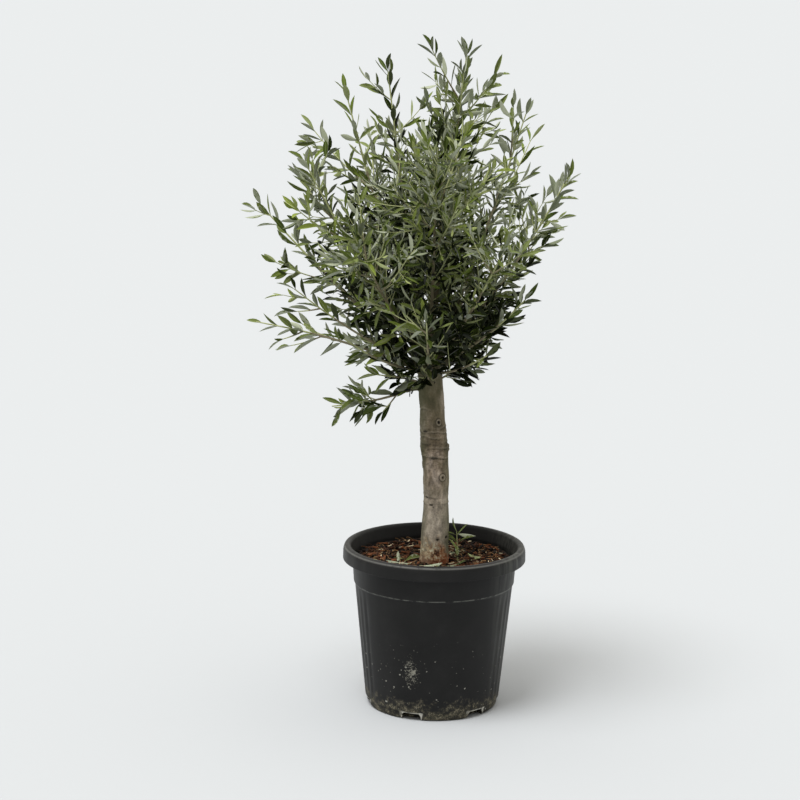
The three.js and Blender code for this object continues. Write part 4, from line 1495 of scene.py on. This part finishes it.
@dataclass
class Wood:
    """The trunk and its boughs as one skin of bark, with its swellings, creases and scars."""

    crown: Crown
    voxel: float = 1.5
    smoothing: int = 12
    flare: float = 1.5  # how much thicker a bough is where it leaves the trunk
    flare_reach: Span = (-2.0, 16.0)  # outside the trunk's face, over which that ends
    stout: float = 1.12  # how much thicker the boughs are made, for what the smoothing takes off
    swell: float = 1.5  # the height of the trunk's broad lumps, and of the finer ones
    dimples: float = 0.5
    grit: float = 0.15
    crease_width: float = 1.1
    crease_depth: float = 1.0
    # how dark the painted shade in a crease is
    crease_dark: float = 0.45
    fold_above: float = 3.0  # from a crease up to the fold of skin over it
    fold_height: float = 0.5
    fold_width: float = 2.0
    heart_depth: float = 0.3  # of a scar's dark heart, as a share of the scar's radius

    def build(self) -> None:
        """Adds the bark in place of the trunk and the boughs."""
        holder = held_by(self.joined())
        remesh = holder.modifiers.new("skin", "REMESH")
        remesh.mode, remesh.voxel_size, remesh.use_smooth_shade = "VOXEL", self.voxel * MM, True
        ease = holder.modifiers.new("fillets", "SMOOTH")
        ease.factor, ease.iterations = 0.5, self.smoothing
        mesh = finished(applied(holder), OliveBark())
        self.carve(mesh)
        boughs = [f"bough_{limb.name}" for limb in self.crown.limbs if not limb.tuft]
        add_piece("bark", mesh, ["trunk", *boughs])

    def joined(self) -> Mesh:
        """Returns the trunk and the boughs as closed tubes that run into each other."""
        points: list[Array] = []
        faces: list[list[int]] = []
        trunk = self.crown.trunk
        low, high = trunk.heights[0], trunk.heights[-1]
        heights = np.append(np.arange(low, high, trunk.ring_step), high)
        radii = np.interp(heights, trunk.heights, trunk.radii)
        tube(points, faces, np.array([trunk.centre(h) for h in heights]), radii, trunk.sides)
        for limb in self.crown.limbs:
            if not limb.tuft:
                marks = np.linspace(0, limb.split, 14) * limb.path.length
                line = np.array([limb.path.at(mark) for mark in marks])
                off, _ = trunk.place_of(line)
                radii = np.linspace(limb.foot_radius, limb.tip_radius, len(marks)) * self.stout
                radii *= 1 + (self.flare - 1) * (1 - smooth_step(off, *self.flare_reach))
                tube(points, faces, line, radii, 14)
        return mesh_of("bark", np.concatenate(points), faces)

    def carve(self, mesh: Mesh) -> None:
        """Moves the skin by the bark's relief, and marks the dark hearts of its scars, painted shade in its
        creases and grooves, and painted highlights on the folds and collars that stand out.
        """
        trunk, spots = self.crown.trunk, spots_of(mesh)
        normals = np.empty(spots.size)
        mesh.vertex_normals.foreach_get("vector", normals)
        off, around = trunk.place_of(spots)
        on_trunk = 1 - smooth_step(off, 2, 8)

        def lumps(wide: float, tall: float) -> Array:
            """Returns noise at every vertex, with lumps of a width and a height."""
            return np.array([noise.noise(Vector((x / wide, y / wide, z / tall))) for x, y, z in spots])

        middle = lumps(9, 13)
        move = self.swell * lumps(34, 34) * on_trunk + self.dimples * middle * mix(0.5, 1, on_trunk)
        move += self.grit * lumps(3.6, 3.6)
        # scar holds the dark marks, painted shade among them; pale holds painted highlights.
        scar, pale = np.zeros(len(spots)), np.zeros(len(spots))
        turns = np.radians(around)
        for number, height in enumerate(trunk.creases):
            wave = np.sin(turns * 2 + number * 2.1) + 0.6 * np.sin(turns * 5 + number * 4.3)
            off = spots[:, 2] - height - 1.3 * wave + 1.2 * middle
            part = np.clip(0.75 + 0.6 * np.sin(turns * 1.5 + number * 1.7), 0, 1) * on_trunk
            cleft = bell(off, self.crease_width) * part
            above = off - self.fold_above
            move += self.fold_height * bell(above, self.fold_width) * part - self.crease_depth * cleft
            # Painted shade in the crease, and a faint painted highlight on the fold above it.
            scar = np.maximum(scar, self.crease_dark * cleft)
            pale = np.maximum(pale, 0.2 * bell(above, 1.6) * part)
        for knot in trunk.knots:
            turn = (around - knot.angle + 180) % 360 - 180
            flat = np.radians(turn) * trunk.radius(knot.height) / knot.flat
            away = np.hypot(flat, spots[:, 2] - knot.height) / knot.radius + 0.1 * middle
            heart = (1 - smooth_step(away - knot.hole, -0.18, 0.08)) * on_trunk
            ring = bell(away - 1, 0.15) * on_trunk
            collar = bell(away - 0.7, 0.2) * on_trunk
            move += knot.proud * (0.7 * bell(away, 1.2) * on_trunk + 0.3 * collar)
            move -= self.heart_depth * knot.radius * heart + knot.ring * ring
            # The heart is partly the scar's dark wood, partly painted shade in its hollow; painted shade in
            # the groove and a painted highlight on the collar.
            scar = np.maximum(scar, np.maximum(heart, knot.ring * ring))
            pale = np.maximum(pale, 0.5 * knot.ring * collar)
        move *= smooth_step(spots[:, 2], trunk.heights[0], trunk.heights[0] + 6)
        mesh.vertices.foreach_set("co", ((spots + normals.reshape(-1, 3) * move[:, None]) * MM).ravel())
        add_attribute(mesh, "scar", "POINT", scar)
        add_attribute(mesh, "pale", "POINT", pale)
        mesh.update()


# ---- pot and root ball
def revolved(profile: Array, sides: int, close: bool) -> tuple[Array, list[list[int]]]:
    """Turns a profile of radii and heights about the upright axis.

    Args:
        profile: radius and height of each point; when closed, the ends lie on the axis.
        sides: how many steps the turn takes.
        close: whether the ends are closed to a point.

    Returns:
        The points and the faces.
    """
    inner = profile[1:-1] if close else profile
    angles = np.linspace(0, 2 * math.pi, sides, endpoint=False)
    points = np.array([(r * math.cos(a), r * math.sin(a), z) for r, z in inner for a in angles])
    ring = [(j, (j + 1) % sides) for j in range(sides)]
    rows = range(0, (len(inner) - 1) * sides, sides)
    faces = [[row + j, row + k, row + sides + k, row + sides + j] for row in rows for j, k in ring]
    if close:
        low, top = len(points), len(points) - sides
        points = np.vstack([points, [[0, 0, profile[0][1]], [0, 0, profile[-1][1]]]])
        faces += [face for j, k in ring for face in ([low, k, j], [top + j, top + k, low + 1])]
    return points, faces


def rounded(corners: Sequence[Triple], steps: int = 4) -> Array:
    """Returns a profile's radii and heights with each corner rounded by its third number."""
    made: list[Array] = []
    spots = [np.array(corner[:2], float) for corner in corners]
    for i, (spot, corner) in enumerate(zip(spots, corners)):
        if corner[2] <= 0 or i in (0, len(corners) - 1):
            made.append(spot)
            continue
        back, onward = spots[i - 1] - spot, spots[i + 1] - spot
        cut = min(corner[2], 0.45 * np.linalg.norm(back), 0.45 * np.linalg.norm(onward))
        first, last = spot + unit(back) * cut, spot + unit(onward) * cut
        for t in np.linspace(0, 1, steps + 1):
            made.append(first * (1 - t) ** 2 + spot * 2 * t * (1 - t) + last * t * t)
    return np.array(made)


@dataclass
class Pot:
    """The nursery pot: a tapered body with ribbed sides, a collar, a hollow lip and drain notches."""

    wall_foot: Span = (126.4, 25.0)  # the body's outer radius and height
    wall_top: Span = (146.8, 229.0)
    rib_reach: float = 2.0  # how deep into the wall the ribs are pressed
    sides: int = 360
    flute_count: int = 46
    flute_depth: float = 1.1
    flute_ends: Span = (20.0, 231.0)
    flute_fade: float = 11.0
    panel: float = 55.0  # degrees each way from the front and the back over which it is smooth
    notches: int = 6
    first_notch: float = -108.0
    notch_width: float = 36.0
    notch_height: float = 13.0
    notch_corner: float = 4.0
    notch_depths: Span = (104.0, 140.0)  # the distances from the axis that the cut runs between
    scuff: float = 3.0
    worn_outside: float = 112.0  # the distance from the axis outside which a rim is scuffed

    def profile(self) -> Array:
        """Returns the pot's section, from the middle of its underside to that of its floor."""
        wall = [
            (*np.add(self.wall_foot, np.subtract(self.wall_top, self.wall_foot) * t), 0)
            for t in np.linspace(0, 1, 11)
        ]
        foot = [(0, 0, 0), (60, 0, 0), (117.5, 0, 2.5), (121.5, 3, 2), (123.3, 15, 1), (125.5, 16.2, 1)]
        collar = [(147.2, 232, 1), (149.5, 235.4, 1.2), (152.5, 278, 1)]
        hollow = [(156.8, 295, 2), (164.5, 295, 2), (166.6, 278, 0.5)]
        lip = [(170, 278, 1.2), (169.6, 296, 4), (167, 303, 3), (162.5, 305, 3), (158.5, 305, 2)]
        inside = [(155.2, 301.5, 2), (149.8, 282, 2), (146.9, 237, 1), (144.1, 231, 1), (122.7, 17, 3)]
        floor = [(116.5, 4, 4), (60, 4, 0), (0, 4, 0)]
        return rounded(foot + wall + collar + hollow + lip + inside + floor)

    def build(self) -> None:
        """Adds the dressed pot in place of its solid."""
        plain = mesh_of("pot", *revolved(self.profile(), self.sides, close=True))
        mesh = finished(self.notched(self.fluted(plain)), PotPlastic())
        self.wear(mesh)
        mesh.set_sharp_from_angle(angle=math.radians(38))
        add_piece("nursery_pot", mesh, ["pot"])

    def fluted(self, mesh: Mesh) -> Mesh:
        """Presses upright ribs into the body's sides, by Geometry Nodes."""
        tree = GeometryTree(
            "ribbed_sides",
            flute_depth=self.flute_depth * MM,
            flute_count=float(self.flute_count),
            panel=math.radians(self.panel),
            foot=self.flute_ends[0] * MM,
            top=self.flute_ends[1] * MM,
            fade=self.flute_fade * MM,
        )
        add, given = tree.add, tree.given
        less = partial(add, "Math", operation="SUBTRACT")
        x, y, z = add("SeparateXYZ", add("InputPosition")).outputs
        # The angle from the front or the back, whichever is nearer.
        beside = add("Math", x, operation="ABSOLUTE")
        turn = add("Math", beside, add("Math", y, operation="ABSOLUTE"), operation="ARCTAN2")
        wave = add("Math", both(add, turn, given["Flute Count"]), operation="COSINE")
        flat = add("CombineXYZ", x, y)
        radius = add("VectorMath", flat, operation="LENGTH")
        wider, taller = np.subtract(self.wall_top, self.wall_foot)
        slope = wider / taller
        inner = (self.wall_foot[0] - slope * self.wall_foot[1] - self.rib_reach) * MM
        skin = add("Math", z, slope, inner, operation="MULTIPLY_ADD")
        depth = both(
            add,
            less(wave, 1.0),
            both(add, given["Flute Depth"], 0.5),
            add("MapRange", less(turn, given["Panel"]), 0.0, 0.07),
            add("MapRange", less(z, given["Foot"]), 0.0, given["Fade"]),
            add("MapRange", less(given["Top"], z), 0.0, given["Fade"]),
            add("Math", radius, skin, operation="GREATER_THAN"),
        )
        ray = add("VectorMath", flat, operation="NORMALIZE")
        shift = add("VectorMath", ray, depth, operation="SCALE")
        moved = add("SetPosition", given["Geometry"], None, None, shift)
        return tree.run(tree.skinned(moved, 0, [PotPlastic()]), mesh)

    def notch_sides(self) -> list[tuple[Array, Array]]:
        """Returns the way out and the way across of each drain notch."""
        angles = [self.first_notch + 360 / self.notches * i for i in range(self.notches)]
        return [(heading(angle, 0), heading(angle + 90, 0)) for angle in angles]

    def notched(self, mesh: Mesh) -> Mesh:
        """Cuts the drain notches out of the foot."""
        half, top, corner = self.notch_width / 2, self.notch_height, self.notch_corner
        right = [(half + 1.5, -corner), (half, top - corner), (half - 3.5, top)]
        outline = right + [(-a, z) for a, z in reversed(right)]
        points: list[Array] = []
        faces: list[list[int]] = []
        for out, across in self.notch_sides():
            start, n = len(points), len(outline)
            points += [out * depth + across * a + UP * z for depth in self.notch_depths for a, z in outline]
            near = [start + i for i in range(n)]
            faces += [near[::-1], [i + n for i in near]]
            faces += [[i, j, j + n, i + n] for i, j in zip(near, near[1:] + near[:1])]
        cutter, holder = held_by(mesh_of("notch_tools", points, faces)), held_by(mesh)
        cut = holder.modifiers.new("notches", "BOOLEAN")
        cut.operation, cut.solver, cut.object = "DIFFERENCE", "EXACT", cutter
        made = applied(holder)
        bpy.data.objects.remove(cutter)
        return made

    def wear(self, mesh: Mesh) -> None:
        """Marks where the notches' rims are scuffed."""
        spots = spots_of(mesh)
        half, top = self.notch_width / 2, self.notch_height
        worn, height = np.zeros(len(spots)), spots[:, 2]
        for out, across in self.notch_sides():
            side = np.abs(spots @ across)
            beside = np.where(height < top + self.scuff, np.abs(side - half), math.inf)
            over = np.where(side < half + self.notch_corner, np.abs(height - top), math.inf)
            rim = 1 - smooth_step(np.minimum(beside, over), 0.6, self.scuff)
            worn = np.maximum(worn, np.where(spots @ out > self.worn_outside, rim, 0))
        add_attribute(mesh, "wear", "POINT", worn)


@dataclass
class RootBall:
    """The potting mix: a plug of composted bark that dips at the trunk, with litter on it."""

    foot: float = 270.0
    edge: float = 279.0
    sunk_edge: float = 2.0  # how far the mix has shrunk down at the wall
    flat_radius: float = 52.0
    edge_radius: float = 140.0
    wall_radius: float = 144.6
    trunk_clear: float = 29.0
    seed: int = 11
    pieces: int = 1300
    bark_size: Triple = (19.0, 4.6, 2.4)  # long, wide and thick
    chip_size: Triple = (15.0, 3.6, 1.3)
    coir_length: float = 34.0
    coir_radii: Span = (0.8, 0.4)

    def top_at(self, radius: float) -> float:
        """Returns the height of the mix at a distance from the pot's axis."""
        halfway = (self.edge_radius + self.flat_radius) / 2
        reach = [self.flat_radius, halfway, self.edge_radius, self.wall_radius]
        heights = [self.foot, mix(self.foot, self.edge, 0.62), self.edge, self.edge - self.sunk_edge]
        return float(np.interp(radius, reach, heights))

    def relief(self, x: float, y: float) -> float:
        """Returns how far the crumbs stand above or below the mix's level at a place."""
        layers = ((2.4, 17, 2.0), (1.8, 6, 9.0))  # how high, how wide, and where in the noise
        return sum(high * noise.noise(Vector((x / wide, y / wide, z))) for high, wide, z in layers)

    def build(self) -> None:
        """Adds the mix in place of its solid, and the litter on it."""
        top = [(r, self.top_at(r)) for r in np.append(np.linspace(self.wall_radius, 4, 46), 0)]
        wall = [(0, 4.4), (100, 4.4), (119.5, 22), (142.0, 226), (143.2, 238)]
        points, faces = revolved(np.array(wall + top), 160, close=True)
        radii = np.hypot(points[:, 0], points[:, 1])
        share = 1 - smooth_step(radii, self.wall_radius - 6, self.wall_radius)
        share *= mix(0.2, 1, smooth_step(radii, 26, 34)) * (points[:, 2] > 250)
        points[:, 2] += share * [self.relief(x, y) for x, y, _ in points]
        mesh = finished(mesh_of("potting_mix", points, faces), PottingMix())
        add_piece("potting_mix", mesh, ["root_ball"])
        add_piece("mulch_litter", self.litter())

    def shapes(self) -> list[Mesh]:
        """Returns the litter's shapes: three pieces of bark, three coir strands and three chips."""
        random = Stream(self.seed)
        made: list[Mesh] = []
        for number in range(len(LITTER_SKINS)):
            points: list[Array] = []
            faces: list[list[int]] = []
            if number // 3 == 1:
                tube(points, faces, self.strand(number), np.linspace(*self.coir_radii, 8), 4)
            else:
                points = self.shard(self.bark_size if number < 3 else self.chip_size, random)
                rows = [(row, row + 4) for row in range(0, 12, 4)]
                ring = [(i, (i + 1) % 4) for i in range(4)]
                faces = [[a + i, b + i, b + j, a + j] for a, b in rows for i, j in ring]
                faces += [[0, 1, 2, 3], [15, 14, 13, 12]]
            mesh = mesh_of(f"litter_{number}", np.concatenate(points), faces)
            add_attribute(mesh, "kind", "FACE", np.full(len(faces), number))
            made.append(mesh)
        return made

    def strand(self, number: int) -> Array:
        """Returns the line of a coir strand, curled by its number."""
        t = np.linspace(0, 1, 8)
        sideways, upward = 6 * np.sin(3.2 * t + number) - 2, 2 * np.sin(2.4 * t * number)
        return np.stack([self.coir_length * (t - 0.5), sideways, upward], axis=1)

    @staticmethod
    def shard(size: Triple, random: Stream) -> list[Array]:
        """Returns the four sections of a torn piece of bark or a chip, of four corners each."""
        long, wide, thick = size
        made: list[Array] = []
        for t in np.linspace(0, 1, 4):
            bulge = 0.35 + 0.65 * math.sin(math.pi * (0.15 + 0.7 * t))
            half = wide / 2 * bulge * random.between(0.75, 1.15)
            x, lift = long * (t - 0.5) + random.between(-0.8, 0.8), random.between(-0.8, 0.8)
            skewed, inset = lift + random.between(-0.6, 0.6), half * 0.8
            under = [(x, -half, lift), (x, half, skewed)]
            made.append(np.array(under + [(x, inset, lift + thick), (x, -inset, lift + thick)]))
        return made

    def litter(self) -> Mesh:
        """Strews the litter over the mix, by Geometry Nodes."""
        reach = self.wall_radius - 9
        radii = np.linspace(self.trunk_clear, reach, 24)
        points, faces = revolved(np.array([(r, self.top_at(r)) for r in radii]), 96, close=False)
        points[:, 2] += [self.relief(x, y) + 0.4 for x, y, _ in points]
        bed = mesh_of("litter_bed", points, [face[::-1] for face in faces])
        tree = GeometryTree(
            "strewn_litter",
            pieces=self.pieces,
            tilt=0.36,
            least_size=0.5,
            greatest_size=1.2,
            seed=self.seed,
        )
        add, given = tree.add, tree.given
        area = math.pi * (reach**2 - self.trunk_clear**2) * MM * MM
        density = add("Math", given["Pieces"], area, operation="DIVIDE")
        places = add("DistributePointsOnFaces", given["Geometry"], None, density, given["Seed"])
        shapes = add("CollectionInfo", shape_store("litter_shape", self.shapes()), True, True)
        pick = add("RandomValue", 0, len(LITTER_SKINS) - 1, None, 3, data_type="INT")
        size = add("RandomValue", given["Least Size"], given["Greatest Size"], None, 5)
        low = both(add, given["Tilt"], -1.0)
        tilts = [add("RandomValue", low, given["Tilt"], None, seed) for seed in (21, 22)]
        spin = add("RandomValue", 0.0, 2 * math.pi, None, 8)
        turn = add("EulerToRotation", add("CombineXYZ", *tilts, spin))
        laid = add("InstanceOnPoints", places, None, shapes, True, pick, turn, size)
        kind = add("InputNamedAttribute", "kind", data_type="INT")
        return tree.run(tree.skinned(laid, kind, LITTER_SKINS), bed)


@dataclass
class GroundGrowth:
    """What grows and lies on the mix: the basal shoot beside the trunk and fallen leaves."""

    root_ball: RootBall
    store: bpy.types.Collection
    foot: Triple = (44.0, 4.0, 271.0)
    lean: Triple = (-3.0, -4.0, 58.0)  # from the foot to the tip
    pairs: Sizes = (0.12, 0.36, 0.62, 0.88)  # where up the shoot its pairs of leaves sit
    shoot_leaf: Triple = (27.0, 38.0, 8.4)  # the shortest, the longest and the width
    fallen_leaf: Triple = (40.0, 56.0, 8.2)
    fallen: int = 17
    lies_at: float = 3.6  # above the mix, on the litter
    seed: int = 77

    def build(self) -> None:
        """Adds the shoot in place of its solid, and the leaves that have dropped."""
        shoot = self.shoot()
        add_piece("basal_shoot_leaves", leaf_mesh([shoot], self.store), ["basal_sprig"])
        add_piece("basal_shoot_stem", twig_mesh([shoot]))
        add_piece("fallen_leaves", leaf_mesh([self.dropped()], self.store))

    def shoot(self) -> Spray:
        """Returns the basal shoot with its pairs of leaves."""
        random, foot = Stream(self.seed), np.array(self.foot)
        line = Line(bowed(foot, foot + self.lean, 0.06, 12))
        made = Spray(line.points[::2], np.linspace(1.3, 0.8, 7), 0.9)
        keels = Keels(line, crossways(line.along(0)))
        shortest, longest, width = self.shoot_leaf
        for number, share in enumerate(self.pairs):
            at = share * line.length
            for side in (0, 180):
                outward = keels.outward(at, side + 35 * number + random.between(-12, 12))
                direction = leaning(line.along(at), outward, random.between(48, 70))
                tone = Tone.FRESH if number % 2 else Tone.GREY
                made.add_leaf(line.at(at), direction, UP, (width, random.between(shortest, longest)), tone)
        tip = line.points[-1]
        made.add_leaf(tip, heading(150, 62), crossways(UP), (6.0, 27), Tone.FRESH)
        made.add_leaf(tip - UP * 4, heading(-4, -6), heading(90, -40), (7.4, 36), Tone.SAGE)
        return made

    def dropped(self) -> Spray:
        """Returns leaves that lie on the mix, turned any way."""
        random = Stream(self.seed + 1)
        made = Spray(np.zeros((0, 3)), np.zeros(0), 0.0)
        shortest, longest, width = self.fallen_leaf
        for number in range(self.fallen):
            # Two out of three lie at the front.
            angle = math.radians(random.between(-172, -8) if number % 3 else random.between(0, 360))
            radius = random.between(46, self.root_ball.edge_radius - 30)
            x, y = radius * math.cos(angle), radius * math.sin(angle)
            level = self.root_ball.top_at(radius) + self.root_ball.relief(x, y)
            root = np.array([x, y, level + self.lies_at])
            direction = heading(random.between(0, 360), random.between(-4, 9))
            over = UP * (1 if random.next() < 0.4 else -1)
            face = over + heading(random.between(0, 360), 0) * 0.25
            tone = (Tone.GREY, Tone.SAGE, Tone.OLIVE, Tone.FRESH)[number % 4]
            made.add_leaf(root, direction, face, (width, random.between(shortest, longest)), tone)
        return made


# ---- studio
@dataclass
class Studio:
    """A pale paper floor under a soft dome of light, and the camera."""

    camera_at: Triple = (0.0, -4.0, 1.3683)
    lens: float = 99.74
    pitch: float = 11.1944  # degrees that the camera looks down
    yaw: float = 0.970
    roll: float = 0.783
    floor_radius: float = 150.0
    dome: Span = (0.38, 1.75)  # at the horizon and overhead
    fill: Span = (0.6, 1.15)  # the dome's share behind the camera and facing it
    backdrop: float = 0.845  # the dome's strength where the camera sees it
    key: float = 3.0
    key_spread: float = 26.0
    key_turn: Triple = (20.0, -7.0, -24.0)

    def build(self) -> None:
        """Adds the floor, the lights and the camera."""
        bpy.context.scene.view_settings.view_transform = "Standard"
        self.floor()
        self.lights()
        self.camera()

    def floor(self) -> None:
        """Adds the paper floor as a wide disc."""
        reach = self.floor_radius / MM
        sides = 64
        points, faces = revolved(np.array([(reach / 50, 0), (reach, 0)]), sides, close=False)
        mesh = mesh_of("floor", points, [face[::-1] for face in faces] + [list(range(sides))])
        held_by(finished(mesh, StudioPaper()))

    def lights(self) -> None:
        """Adds a dome that is brightest overhead and one wide key light."""
        scene = bpy.context.scene
        scene.world = bpy.data.worlds.new("soft_dome")
        scene.world.use_nodes = True
        add = partial(add_node, scene.world.node_tree)
        backdrop = scene.world.node_tree.nodes["Background"].inputs
        axes = add("SeparateXYZ", add("TexCoord").outputs["Generated"]).outputs
        upward = add("MapRange", axes["Z"], 0.0, 1.0, *self.dome)
        facing = add("MapRange", axes["Y"], -1.0, 1.0, *self.fill)
        seen = add("LightPath").outputs["Is Camera Ray"]
        feed(backdrop["Strength"], add("Mix", seen, both(add, upward, facing), self.backdrop))
        feed(backdrop["Color"], stained(add, linear("#fffcf5"), seen, "#fdffff"))
        lamp = bpy.data.lights.new("key", "SUN")
        lamp.energy, lamp.angle = self.key, math.radians(self.key_spread)
        made = bpy.data.objects.new("key", lamp)
        made.rotation_euler = [math.radians(turn) for turn in self.key_turn]
        scene.collection.objects.link(made)

    def camera(self) -> None:
        """Adds the camera at its own place, square to its own view."""
        view, level = heading(90 + self.yaw, -self.pitch), heading(self.yaw, 0)
        upward = np.cross(level, view)
        right, above = leaning(level, upward, self.roll), leaning(upward, level, -self.roll)
        lens = bpy.data.cameras.new("camera")
        lens.lens, lens.clip_end = self.lens, 400.0
        made = bpy.data.objects.new("camera", lens)
        turn = Matrix(np.stack([right, above, -view], axis=1).tolist()).to_4x4()
        made.matrix_world = Matrix.Translation(self.camera_at) @ turn
        bpy.context.scene.collection.objects.link(made)
        bpy.context.scene.camera = made


def main() -> None:
    """Builds the tree, the pot and the studio."""
    logging.basicConfig(level=logging.INFO, format="%(message)s")
    crown = Crown(Trunk())
    root_ball = RootBall()
    store = shape_store("leaf_shape", [blade.mesh() for blade in BLADES])
    Pot().build()
    root_ball.build()
    Wood(crown).build()
    Foliage(crown, store).build()
    GroundGrowth(root_ball, store).build()
    Studio().build()


if __name__ == "__main__":
    main()
